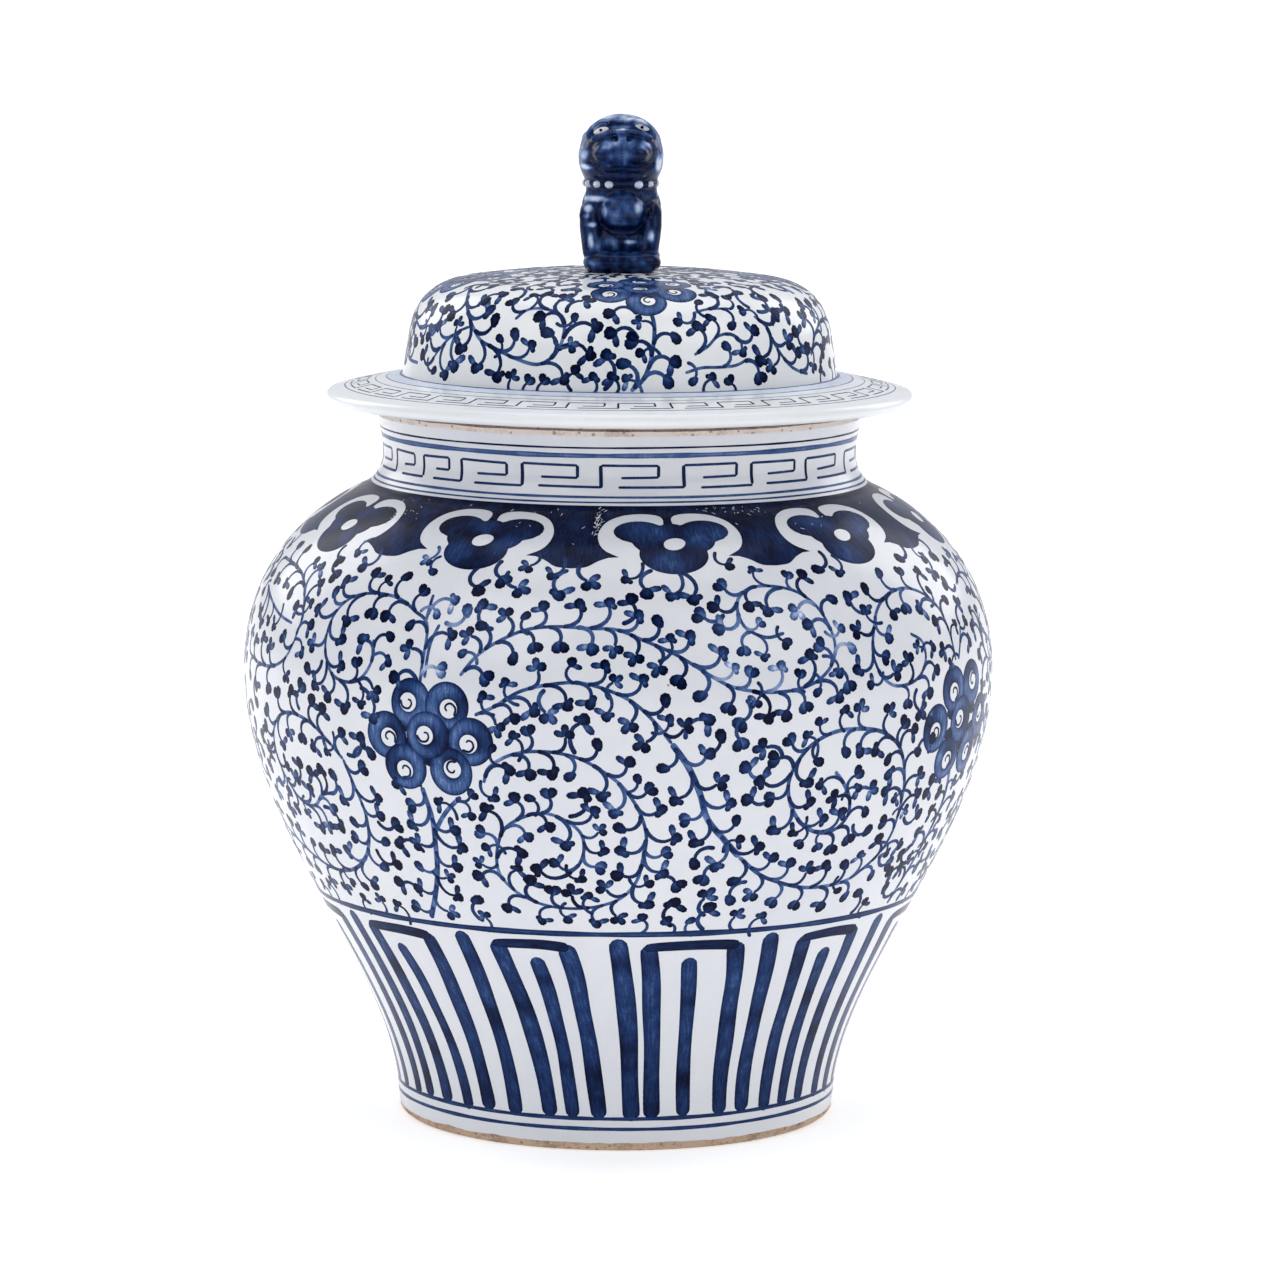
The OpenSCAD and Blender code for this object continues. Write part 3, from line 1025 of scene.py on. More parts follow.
@dataclass
class Vine:
    """Stems over a surface, with hooked leaves along both sides and in the gaps."""

    outline: Outline
    low: Callable[[float], float]
    high: Callable[[float], float]
    seed: int
    apart: float = 7.6
    every: float = 5.9
    fill_apart: float = 8.0
    clear: float = 3.9
    sizes: tuple[float, ...] = (1.18, 1.04, 0.92)
    bare: list[Place] = field(default_factory=list)
    # Patches (turn and length spans) in which leaves are painted paler: painted highlights for the
    # glaze's reflections.
    painted_highlights: list[tuple[float, float, float, float]] = field(default_factory=list)
    leaves: list[Leaf] = field(default_factory=list)
    heads: list[Point] = field(default_factory=list)
    stems: list[Point] = field(default_factory=list)
    edges: list[Point] = field(default_factory=list)

    def __post_init__(self) -> None:
        """Starts the random draws."""
        self.draws = random.Random(self.seed)

    def far(self, turn: float, along: float, others: Sequence[Sequence[float]]) -> np.ndarray:
        """Distances from a place to others.

        Args:
            turn: Degrees round the axis.
            along: Length along the outline.
            others: The other places.

        Returns:
            The distance to each, in millimetres.
        """
        if not len(others):
            return np.array([1e9])
        places = np.asarray(others, float)
        across = (places[:, 0] - turn + 180) % 360 - 180
        return np.hypot(np.radians(across) * self.outline.radius(along), places[:, 1] - along)

    def free(self, turn: float, along: float, apart: float, clear: float) -> bool:
        """Whether a leaf's head fits at a place.

        Args:
            turn: Degrees round the axis.
            along: Length along the outline.
            apart: Least distance to another head.
            clear: Least distance to a stem.

        Returns:
            True if it fits.
        """
        if not self.low(turn) < along < self.high(turn):
            return False
        if any(self.far(turn, along, [spot])[0] < spot[2] for spot in self.bare):
            return False
        if self.far(turn, along, self.heads).min() < apart:
            return False
        return self.far(turn, along, self.stems).min() >= clear

    def place(self, turn: float, along: float, spin: float, hand: int, size: float,
              apart: float, kind: int | None = None) -> bool:
        """Puts a leaf where it fits.

        Args:
            turn: Where its stalk starts, in degrees round the axis.
            along: Where its stalk starts along the outline.
            spin: Direction of its stem, in radians.
            hand: 1, or -1 for the other side of the stem.
            size: Its size.
            apart: Least distance between heads.
            kind: The drawn leaf, or None for any.

        Returns:
            True if it was put there.
        """
        kind = self.draws.randrange(len(LEAF_SHAPES)) if kind is None else kind
        x, y = LEAF_SHAPES[kind].head
        x, y = x * size, hand * y * size
        across = x * math.cos(spin) - y * math.sin(spin)
        head = (turn + math.degrees(across / self.outline.radius(along)),
                along + x * math.sin(spin) + y * math.cos(spin))
        if not self.free(*head, apart, self.clear):
            return False
        self.heads.append(head)
        shade = self.draws.gauss(0, 0.09)
        # Painted highlights: some leaves in these patches are painted paler.
        for left, right, bottom, top in self.painted_highlights:
            if left < (head[0] + 180) % 360 - 180 < right and bottom < head[1] < top:
                shade -= self.draws.choice((0.0, 0.1, 0.32))
        drawn = kind if hand > 0 else kind + len(LEAF_SHAPES)
        self.leaves.append(Leaf(turn, along, spin, size, drawn, shade))
        return True

    def add_stem(self, work: Brushwork, path: Sequence[Point], width: float) -> None:
        """Paints a stem and remembers it.

        Args:
            work: The sheet that it is painted on.
            path: The points that it passes through.
            width: Its width.
        """
        beat = self.draws.uniform(0, math.tau)
        work.stroke(path, 0.9 * width, lambda t: 0.38 + 0.1 * math.sin(beat + 31 * t), lift=0.05,
                    step=1.8, rim=0.14)
        self.stems += [(turn, along) for turn, along in work.smooth(path, 1.2)]

    def grow(self, work: Brushwork, stems: Sequence[tuple[Sequence[Point], float]],
             start: float) -> None:
        """Paints all the stems, then puts leaves along them.

        Args:
            work: The sheet that they are painted on.
            stems: The points and the width of each.
            start: Distance from a stem's start to its first leaf.
        """
        for path, width in stems:
            self.add_stem(work, path, width)
        for path, _ in stems:
            self.leaf_stem(path, work, start)

    def leaf_stem(self, path: Sequence[Point], work: Brushwork, start: float) -> None:
        """Puts leaves along both sides of a stem.

        Args:
            path: The points that the stem passes through.
            work: The sheet that it was painted on.
            start: Distance from the stem's start to the first leaf.
        """
        line = work.smooth(path, 0.8)
        scale = self.outline.radius(line[:, 1]) * math.radians(1)
        steps = np.diff(line, axis=0) * np.stack([scale[1:], np.ones(len(line) - 1)], axis=1)
        run = np.concatenate([[0.0], np.cumsum(np.hypot(*steps.T))])
        side = self.draws.choice((-1, 1))
        reach = start
        while reach < run[-1]:
            i = min(len(steps) - 1, int(np.searchsorted(run, reach)))
            spin = math.atan2(steps[i][1], steps[i][0]) + self.draws.gauss(0, 0.1)
            turn, along = line[i]
            for hand in (side, -side):
                if any(self.place(turn, along, spin, hand, size * self.draws.uniform(0.92, 1.06),
                                  self.apart) for size in self.sizes):
                    side = -hand
                    break
            reach += self.every * self.draws.uniform(0.85, 1.15)

    def fill(self, tries: int) -> None:
        """Puts sprigs in the gaps, each with its stalk towards the nearest stem.

        Args:
            tries: Places that are tried.
        """
        roots = self.stems + self.edges
        for i in range(tries):
            turn = self.draws.uniform(-180, 180)
            floor, roof = self.low(turn), self.high(turn)
            along = self.draws.uniform(floor, roof)
            apart = self.fill_apart * (1.0 if i < tries * 0.75 else 0.9)
            if not self.free(turn, along, apart, 4.2):
                continue
            gaps = self.far(turn, along, roots)
            nearest = int(gaps.argmin())
            root_turn, root_along = roots[nearest]
            across = (turn - root_turn + 180) % 360 - 180
            heading = math.atan2(along - root_along,
                                 math.radians(across) * self.outline.radius(along))
            kind = self.draws.randrange(len(LEAF_SHAPES))
            hand = self.draws.choice((-1, 1))
            x, y = LEAF_SHAPES[kind].head
            reach = math.hypot(x, y)
            size = min(1.25, max(0.95, gaps[nearest] / reach))
            spin = heading - math.atan2(hand * y, x)
            start = math.degrees(reach * size * math.cos(heading) / self.outline.radius(along))
            self.place(turn - start, along - reach * size * math.sin(heading), spin, hand, size,
                       apart, kind)

    def points(self, name: str, low: float, high: float) -> bpy.types.Mesh:
        """The leaves of one stretch as points for the node tree.

        Args:
            name: Name of the mesh.
            low: Lowest length along the outline.
            high: Highest length along the outline.

        Returns:
            A mesh with one vertex for each leaf.
        """
        chosen = [leaf for leaf in self.leaves if low <= leaf.along < high]
        data = bpy.data.meshes.new(name)
        lifts = [0.03 * (i * 0.618 % 1) for i in range(len(chosen))]
        data.from_pydata([(0, leaf.along, lift) for leaf, lift in zip(chosen, lifts)], [], [])
        columns = {
            "turn": [math.radians(leaf.turn) for leaf in chosen],
            "anchor_radius": [float(self.outline.radius(leaf.along)) for leaf in chosen],
            "spin": [leaf.spin for leaf in chosen], "size": [leaf.size for leaf in chosen],
            "shade": [leaf.shade for leaf in chosen]}
        for label, values in columns.items():
            data.attributes.new(label, "FLOAT", "POINT").data.foreach_set("value", values)
        data.attributes.new("kind", "INT", "POINT").data.foreach_set(
            "value", [leaf.kind for leaf in chosen])
        return data


def drawn_leaves(name: str, size: float) -> bpy.types.Collection:
    """Draws each leaf for both sides of a stem.

    Args:
        name: Name of the collection.
        size: Size of the leaves.

    Returns:
        The collection that the node tree picks from.
    """
    shelf = bpy.data.collections.new(name)
    for hand in (1, -1):
        for kind, shape in enumerate(LEAF_SHAPES):
            number = kind + (0 if hand > 0 else len(LEAF_SHAPES))
            data = shape.mesh(f"{name}_{number:02d}", hand, 10 + number)
            data.transform(Matrix.Diagonal((size, size, 1, 1)))
            shelf.objects.link(bpy.data.objects.new(f"{name}_{number:02d}", data))
    return shelf


# ---- The jar ----

# Each rosette's turn and length along. The stems that start past PANEL_FROM fill the panel
# between the first two, and are copied into the others: each has its first and last turn,
# whether it is seen in a mirror, and the turns between which the copies are kept.
ROSETTES = ((-28.7, 201.0), (64.5, 199.0), (155.0, 200.0), (245.0, 200.0))
PANEL_FROM = -31
OTHER_PANELS = ((64.5, 155.0, True, (70, 160)), (155.0, 245.0, False, (152, 248)),
                (245.0, 331.3, True, (249, 281)))


def mirrored(path: Sequence[Point], start: float, end: float, flip: bool,
             keep: Point) -> list[list[Point]]:
    """Copies a stem from the panel between the first two rosettes into another panel.

    Args:
        path: The stem's points.
        start: Turn of the rosette where the copy starts.
        end: Turn of the rosette where it ends.
        flip: True for a copy seen in a mirror.
        keep: The turns between which the copy is kept.

    Returns:
        The copies, cut to what is kept.
    """
    first, second = ROSETTES[0][0], ROSETTES[1][0]
    copies, run = [], []
    for turn, along in path:
        share = (turn - first) / (second - first)
        place = start + (end - start) * (1 - share if flip else share)
        if keep[0] < place < keep[1]:
            run.append((place, along))
        else:
            copies.append(run)
            run = []
    return [run for run in [*copies, run] if len(run) > 2]


@dataclass
class Jar:
    """The jar: a foot ring, a base, two thrown halves, a neck and their painting."""

    shop: Workshop
    wall: float = 8.0
    foot_lean: float = 1.2
    foot_bevel: float = 2.5
    foot_flare: float = 9.0
    foot_swell: float = 0.32
    belly_swell: float = 0.38
    shoulder_swell: float = 0.73
    root_slope: float = 22.0
    root_lead: float = 3.5
    neck_bore_r: float = 96.0
    waist_r: float = 103.5
    rim_r: float = 107.0
    waist_h: float = 14.5
    rim_round: float = 1.2
    foot_glaze: float = 4.6
    gadroon_top: float = 108.0
    line_at: float = 110.4
    collar_top: float = 318.0
    cloud_start: float = -62.0
    cloud_pitch: float = 36.0
    cloud_cleft: float = 302.5
    disc_r: float = 10.4
    eye_r: float = 3.9
    bare_r: float = 27.5
    rim_glaze: float = 348.6
    scuffs: tuple[tuple[float, float, float, float, int], ...] = (
        (-4.0, 307.0, 0.4, 6.5, 60), (24.0, 313.5, 4.2, 2.4, 24), (-50.0, 305.0, 4.0, 4.0, 18),
        (-18.0, 300.0, 9.0, 8.0, 14), (40.0, 302.0, 8.0, 7.0, 12), (150.0, 306.0, 4.0, 5.0, 16))

    def __post_init__(self) -> None:
        """Takes the sizes of the frame and works out the outlines."""
        foot_low, foot_high = (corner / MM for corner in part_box("foot_ring"))
        lower_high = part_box("lower_body")[1] / MM
        upper_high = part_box("upper_body")[1] / MM
        neck_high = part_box("neck_ring")[1] / MM
        base_low, base_high = (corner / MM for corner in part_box("base_plate"))
        self.foot_r, self.foot_h = foot_high.x, foot_high.z
        self.foot_in, self.recess = base_high.x, base_low.z
        self.belly_r, self.belly_z = lower_high.x, lower_high.z
        self.root_r, self.shoulder_z, self.rim_z = neck_high.x, upper_high.z, neck_high.z
        span = self.belly_z - self.foot_h
        rise = self.shoulder_z - self.belly_z
        foot, belly = (self.foot_r, self.foot_h), (self.belly_r, self.belly_z)
        root = (self.root_r, self.shoulder_z)
        waist = (self.waist_r, self.shoulder_z + self.waist_h)
        corner = np.array([self.rim_r, self.rim_z])
        pull = self.waist_h / 2
        self.lower = bezier(foot, foot + polar(self.foot_swell * span, 90 - self.foot_flare),
                            (self.belly_r, self.belly_z - self.belly_swell * span), belly, 64)
        self.upper = bezier(belly, (self.belly_r, self.belly_z + self.shoulder_swell * rise),
                            root + polar(self.root_lead, -self.root_slope), root, 72)
        self.neck = bezier(root, root + polar(self.root_lead, 180 - self.root_slope),
                           (waist[0], waist[1] - pull), waist, 24)
        lip = corner - [(self.rim_r - self.waist_r) / 2, (self.rim_z - self.shoulder_z) / 4]
        self.neck += bezier(waist, (waist[0], waist[1] + pull), tuple(lip),
                            tuple(corner - [0, self.rim_round]), 24)[1:]
        middle = corner - [self.rim_round, self.rim_round]
        self.neck += [tuple(middle + polar(self.rim_round, 18 * i)) for i in range(1, 6)]
        heel = [(self.foot_r - self.foot_lean - self.foot_bevel, 0.0),
                (self.foot_r - self.foot_lean, self.foot_bevel)]
        self.outside = Outline([*heel, *self.lower, *self.upper[1:], *self.neck[1:]])

    def build(self) -> None:
        """Makes the clay and paints it."""
        self.throw()
        self.dress_foot_and_rim()
        self.paint_lines()
        self.paint_gadroons()
        self.paint_collar()
        self.scuff_collar()
        self.paint_fret()
        self.paint_rosettes()
        self.paint_vine()

    def throw(self) -> None:
        """Turns the clay pieces."""
        turn, jar, white = self.shop.turn, Body.JAR, Slot.PORCELAIN
        heel = self.foot_r - self.foot_lean
        turn("foot_ring_turned", [
            (self.foot_in, 0.6), (self.foot_in + 0.6, 0), (heel - self.foot_bevel, 0),
            (heel - 0.7, self.foot_bevel - 1.2), (heel, self.foot_bevel),
            (self.foot_r, self.foot_h), (self.foot_in, self.foot_h)], jar, Slot.BISCUIT,
            ["foot_ring"], material=self.shop.foot_clay)
        turn("base_plate_turned", [
            (0, self.recess), (self.foot_in, self.recess), (self.foot_in, self.foot_h),
            (0, self.foot_h)], jar, white, ["base_plate"], 96)
        inner = behind(self.lower, self.wall)
        turn("lower_body_turned", [
            *self.lower, (self.belly_r - self.wall, self.belly_z),
            *[p for p in reversed(inner) if self.foot_h < p[1] < self.belly_z][::2],
            (self.foot_r - self.wall, self.foot_h)], jar, white, ["lower_body"], 400)
        inner = [p for p in behind(self.upper, self.wall)
                 if p[0] > self.neck_bore_r + 2 and p[1] > self.belly_z]
        turn("upper_body_turned", [
            *self.upper, (self.neck_bore_r, self.shoulder_z), *inner[::-2],
            (self.belly_r - self.wall, self.belly_z)], jar, white, ["upper_body"], 400)
        turn("neck_turned", [
            *self.neck, (self.neck_bore_r + 0.8, self.rim_z),
            (self.neck_bore_r, self.rim_z - 0.8), (self.neck_bore_r, self.shoulder_z)],
            jar, white, ["neck_ring"], 400)

    def dress_foot_and_rim(self) -> None:
        """Glazes the foot down to its bare heel, bares the rim that the lid rests on and paints
        the brim's shadow on it.
        """
        self.sleeve("foot_glaze", self.foot_glaze, self.outside.along(self.foot_h) + 0.6, 0.7,
                    self.shop.porcelain, Slot.PORCELAIN, 3)
        top = self.outside.along(self.rim_z - self.rim_round)
        self.sleeve("rim_bare_outside", self.rim_glaze, top, 0.3, self.shop.biscuit,
                    Slot.BISCUIT, 4)
        # Painted shadow: a dark ragged band just under the top of the bare rim, where the lid's
        # brim shades it.
        self.sleeve("rim_soot", top - 2.0, top - 0.7, 0.35, self.shop.shadow_paint, Slot.BISCUIT, 9, 0.1)
        bore, rim = self.neck_bore_r, self.rim_z
        self.shop.turn("rim_bare_top", [
            (self.rim_r - 1.5, rim - 1.0), (self.rim_r - 1.6, rim + 0.03),
            (bore + 0.9, rim + 0.03), (bore - 0.06, rim - 0.8), (bore - 0.06, rim - 9),
            (bore + 1, rim - 9.2), (bore + 2, rim - 1.5)], Body.JAR, Slot.BISCUIT)

    def sleeve(self, name: str, low: float, high: float, ragged: float,
               material: bpy.types.Material, slot: Slot, seed: int,
               lift: float = 0.05) -> None:
        """A thin coat all the way round, with a ragged lower edge.

        Args:
            name: Name of the piece.
            low: Length along the outline at its lower edge.
            high: Length along the outline at its upper edge.
            ragged: How far the lower edge strays.
            material: Its finish.
            slot: Its material slot.
            seed: Place of the raggedness in the noise.
            lift: How far it stands off the skin.
        """
        steps, columns = 480, 10
        work = Brushwork(self.outside, seed)
        points = []
        for i in range(steps):
            turn = math.tau * i / steps
            around = Vector((math.cos(turn), math.sin(turn), 0))
            stray = noise.noise(around * 5 + Vector((0, 0, seed))) + 0.5 * noise.noise(
                around * 22 + Vector((0, 0, seed)))
            for j in range(columns):
                share = j / (columns - 1)
                edge = low + ragged * stray
                place = (360 * i / steps, edge + (high - edge) * share ** 1.5)
                points.append((place, SINK if j in (0, columns - 1) else lift, 0.0, place))
        work.put(points, strip_faces(steps, columns, True))
        self.shop.paint(name, work, Body.JAR, slot, material)

    def paint_lines(self) -> None:
        """Paints the plain lines round the foot, the body and the neck."""
        work = Brushwork(self.outside, 5)
        for along, width, ink, edge in (
                (11.0, 1.8, 0.58, 0.12), (15.6, 1.9, 0.62, 0.12),
                (self.line_at, 3.0, 0.6, 0.26), (319.8, 0.9, 0.42, 0.12),
                (322.3, 1.2, 0.4, 0.12), (340.2, 2.2, 0.38, 0.14), (343.6, 0.9, 0.72, 0.1)):
            work.ring(along, width, ink, 0.1, edge)
        self.shop.paint("ring_lines", work, Body.JAR)

    def paint_gadroons(self) -> None:
        """Paints the upright strokes and brackets over the foot."""
        work = Brushwork(self.outside, 6)
        draws = work.draws
        foot, top = 14.4, self.gadroon_top

        def leaning(start: float, shift: float, high: float) -> list[Point]:
            """A stroke from its top down to the foot."""
            low = foot + draws.uniform(0, 1.5)
            rows = [high + (low - high) * k / 5 for k in range(6)]
            return [(start + shift * ((high - row) / (high - low)) ** 0.8
                     + draws.uniform(-0.15, 0.15), row) for row in rows]

        def streaky(dark: float) -> Callable[[float], float]:
            """Ink along a stroke that pools at its foot and in a few spots."""
            spots = [(draws.uniform(0.05, 0.95), draws.uniform(0.08, 0.2)) for _ in range(3)]
            return lambda t: dark + 0.12 * t * t + sum(
                w * math.exp(-((t - s) / 0.05) ** 2) for s, w in spots)

        fronts = {-45.0: (-54, -38, -47, -48.5, -34, -40.5),
                  -15.0: (-23, -9.5, -15.5, -16.5, -4, -10.5),
                  15.0: (6, 23, 14, 9.5, 27.5, 17.5), 45.0: (38, 51.5, 45, 41.5, 54.8, 48)}
        for k in range(12):
            centre = 30 * k - 165.0
            half = draws.uniform(7.6, 8.6)
            left, right, middle, left_foot, right_foot, middle_foot = fronts.get(centre, (
                centre - half, centre + half, centre, centre - half + 4.2,
                centre + half + 4.4, centre + 4.4))
            single = centre - 15 + draws.uniform(-0.6, 0.6)
            for start, end, high in ((single, single + 4, top), (left, left_foot, top - 3.5),
                                     (right, right_foot, top - 3.5),
                                     (middle, middle_foot, top - draws.uniform(10.5, 12.5))):
                wide, swell = draws.uniform(7.9, 9.2), draws.uniform(0, math.tau)
                shrink = 0.86 if start == middle else 1.0
                work.stroke(leaning(start, end - start, high),
                            lambda t: wide * shrink * (1 + 0.05 * math.sin(9 * t + swell)
                                                       - 0.15 * t), streaky(0.58),
                            lift=0.08, columns=8, step=3.0, rim=0.24)
            bar = top - 4.5
            work.stroke([(left - 0.7, bar - 1), (left + 2, bar), (centre, bar + 0.5),
                         (right - 2, bar), (right + 0.8, bar - 1)],
                        lambda t: 4.9 + 1.0 * t, lambda t: 0.76 + 0.14 * t, lift=0.1, columns=5,
                        step=3.0, rim=0.08)
        self.shop.paint("gadroon_border", work, Body.JAR)

    def paint_collar(self) -> None:
        """Paints the dark collar and the trefoils that hang from it."""
        work = Brushwork(self.outside, 7)
        draws = work.draws
        for k in range(10):
            start = self.cloud_pitch * k + self.cloud_start
            side = [(1.0, 303.8), (0.9, 308.4), (2.1, 311.3), (5.2, 312.4), (8.8, 311.2),
                    (11.9, 307.0), (13.5, 300.5), (13.6, 293.8), (12.4, 288.2), (9.8, 284.2)]
            bottom = 278.6 + draws.uniform(-0.8, 0.8)
            scallop = [(11.6, 283.9), (13.4, 281.9), (15.4, bottom + 0.8), (18.0, bottom)]
            half = work.smooth(side, 1.0).tolist() + work.smooth(scallop, 1.5).tolist()
            end = start + self.cloud_pitch
            low_edge = [(start, self.cloud_cleft), *[(start + a, b) for a, b in half],
                        *[(end - a, b) for a, b in reversed(half[:-1])],
                        (end, self.cloud_cleft)]
            risers = [(end, self.cloud_cleft + 2.6 * i) for i in range(1, 6)]
            roof = [(end - 1.5 * i, self.collar_top) for i in range(25)]
            drops = [(start, self.collar_top - 2.6 * i) for i in range(1, 6)]
            loop = np.array(low_edge + risers + roof + drops)
            shade = draws.uniform(-0.05, 0.05)
            work.plate(loop, lambda turn, along: 0.88 + shade + 0.003 * (along - 295)
                       + 0.2 * noise.noise(Vector((turn * 0.3, along * 0.09, 3))), 0.06, 2.2)
            self.trefoil(work, start)
        self.shop.paint("cloud_collar", work, Body.JAR)

    def scuff_collar(self) -> None:
        """Scratches the collar through to the white in a few places."""
        work = Brushwork(self.outside, 15)
        draws = work.draws
        for turn, along, wide, high, count in self.scuffs:
            for _ in range(count):
                start = (turn + draws.gauss(0, wide), along + draws.gauss(0, high))
                reach, lean = draws.uniform(0.4, 2.0), draws.gauss(0.5 * math.pi, 0.7)
                end = (start[0] + reach * math.cos(lean) / work.scale_at(start[1]),
                       start[1] + reach * math.sin(lean))
                if max(start[1], end[1]) < self.collar_top:
                    work.stroke([start, end], draws.uniform(0.14, 0.34), 0.0, 0.13, step=2.0)
        self.shop.paint("collar_scuffs", work, Body.JAR, Slot.PORCELAIN, self.shop.porcelain)

    def trefoil(self, work: Brushwork, turn: float) -> None:
        """Paints one trefoil with its bare eye.

        Args:
            work: The sheet of the collar.
            turn: Its place round the axis.
        """
        middle = (turn + 0.4, 292.5)
        lobes = ((-14.6, 7.2, 11.4, 7.4), (14.6, 7.2, 11.4, 7.4), (-1.0, -6.8, 14.2, 10.8),
                 (-8.4, 2.0, 9.8, 8.2), (8.4, 2.0, 9.8, 8.2), (0.0, 5.0, 8.5, 7.6))

        def outer(phi: float) -> np.ndarray:
            """Edge of the joined lobes."""
            step = way(phi)
            reach = 6.0
            for x, y, wide, high in lobes:
                a = (step[0] / wide) ** 2 + (step[1] / high) ** 2
                b = step[0] * x / wide ** 2 + step[1] * y / high ** 2
                c = (x / wide) ** 2 + (y / high) ** 2 - 1
                if b * b > a * c:
                    reach = max(reach, (b + math.sqrt(b * b - a * c)) / a)
            return reach * step

        def eye(phi: float) -> np.ndarray:
            """Edge of the bare eye."""
            return np.array([4.3 * math.cos(phi) + 0.8 * math.sin(phi), 3.4 * math.sin(phi) - 0.8])

        tone = work.draws.uniform(-0.06, 0.06)
        work.annulus(middle, eye, outer, lambda phi, share: 0.78 + tone
                     + 0.18 * abs(2 * share - 1) ** 3 + 0.14 * math.sin(3 * phi + tone * 40),
                     0.1, 84, (0, 0.05, 0.2, 0.4, 0.6, 0.8, 0.95, 1))

    def paint_fret(self) -> None:
        """Paints the key fret round the neck."""
        work = Brushwork(self.outside, 8)
        draws = work.draws
        risers = [-67.5, -53.5, -40.0, -23.0, -4.0, 15.5, 33.0, 50.5, 70.0]
        gap = (360 + risers[0] - risers[-1]) / 13
        risers += [risers[-1] + gap * (i + 1) for i in range(12)]
        low, high, back = 326.6, 335.9, 330.8

        def fine(t: float) -> float:
            """Ink of a level stroke, pooled at its ends."""
            return 0.52 + 0.2 * math.exp(-14 * t) + 0.12 * math.exp(-14 * (1 - t))

        def rising(t: float) -> float:
            """Ink of an upright stroke, darkest at its top."""
            return 0.66 + 0.12 * t

        for start, following in zip(risers, risers[1:] + [risers[0] + 360]):
            reach = min(13.4, following - start - 4.2)
            a, b, c, d, e, f = (draws.uniform(-0.3, 0.3) for _ in range(6))
            for path, width, ink, lift in (
                    ([(start, low + a), (start - 0.15, high + b)], 1.7, rising, 0.09),
                    ([(start, high + b), (start + reach, high + c)], 1.2, fine, 0.075),
                    ([(start + reach, high + c), (start + reach, back + d)], 1.5, 0.72, 0.09),
                    ([(start + reach, back + d), (start + 4.6, back + e)], 1.15, fine, 0.075),
                    ([(start + 4.0, low + f), (following, low + f / 2)], 1.2, fine, 0.075)):
                work.stroke(path, width, ink, lift, step=1.5)
        self.shop.paint("key_fret", work, Body.JAR)

    def paint_rosettes(self) -> None:
        """Paints the four rosettes of seven coiled discs."""
        work = Brushwork(self.outside, 9)
        first = ((-31.5, 215), (-25.5, 215), (-36, 200.5), (-21.7, 200.5), (-33, 187.5),
                 (-25.2, 187), (-28.7, 202))
        second = ((61, 214), (67.7, 214.5), (56, 198.5), (72.5, 198), (61, 184), (68.5, 184.5),
                  (64, 200))
        for (turn, along), discs in zip(ROSETTES, (first, second, None, None)):
            discs = discs or [(turn + x + 28.7, y - 201 + along) for x, y in first]
            paint_rosette(work, discs, self.disc_r, self.eye_r)
            for a, b in ((0, 1), (1, 3), (3, 5), (5, 4), (4, 2), (2, 0)):
                pair = np.array([discs[a], discs[b], discs[6]]).mean(axis=0)
                work.dab(tuple(pair), 9.0, 8.0, 0, 0.96, 0.05)
        self.shop.paint("rosettes", work, Body.JAR)

    def vine_roof(self, turn: float) -> float:
        """Highest place of a leaf's head under the collar, at a turn."""
        half = self.cloud_pitch / 2
        place = abs((turn - self.cloud_start + half) % self.cloud_pitch - half)
        return float(np.interp(place, [0, 5, 8.6, 11, 13.5, 18], [270, 272, 279, 281, 276, 273.5]))

    def paint_vine(self) -> None:
        """Paints the stems and leaves that cover the body."""
        floor = self.line_at + 6.2
        vine = Vine(self.outside, lambda _: floor, self.vine_roof, 21)
        vine.bare = [(turn, along, self.bare_r) for turn, along in ROSETTES]
        # Painted highlights: leaves in these patches are painted paler where the glaze reflects
        # the lamps.
        vine.painted_highlights = [(-33, -18, 225, 262), (14, 38, 225, 262), (-52, -40, 150, 175)]
        work = Brushwork(self.outside, 10)
        copies = [*BODY_STEMS]
        for source, width in (stem for stem in BODY_STEMS if stem[0][0][0] > PANEL_FROM):
            for start, end, flip, keep in OTHER_PANELS:
                copies += [(run, width) for run in mirrored(source, start, end, flip, keep)]
        vine.grow(work, copies, 2.0)
        for i in range(180):
            turn = 2.0 * i - 180
            vine.edges += [(turn, self.line_at), (turn, self.vine_roof(turn) + 7)]
        vine.fill(11000)
        LOG.info("body vine: %d leaves", len(vine.leaves))
        leaves = drawn_leaves("body_leaf", 1.0)
        middle = self.outside.along(self.belly_z)
        self.shop.paint("vine_stems", work, Body.JAR)
        self.shop.leaf("vine_leaves_lower", vine, leaves, Body.JAR, 0, middle - 18)
        self.shop.leaf("vine_leaves_upper", vine, leaves, Body.JAR, middle - 18, 400)


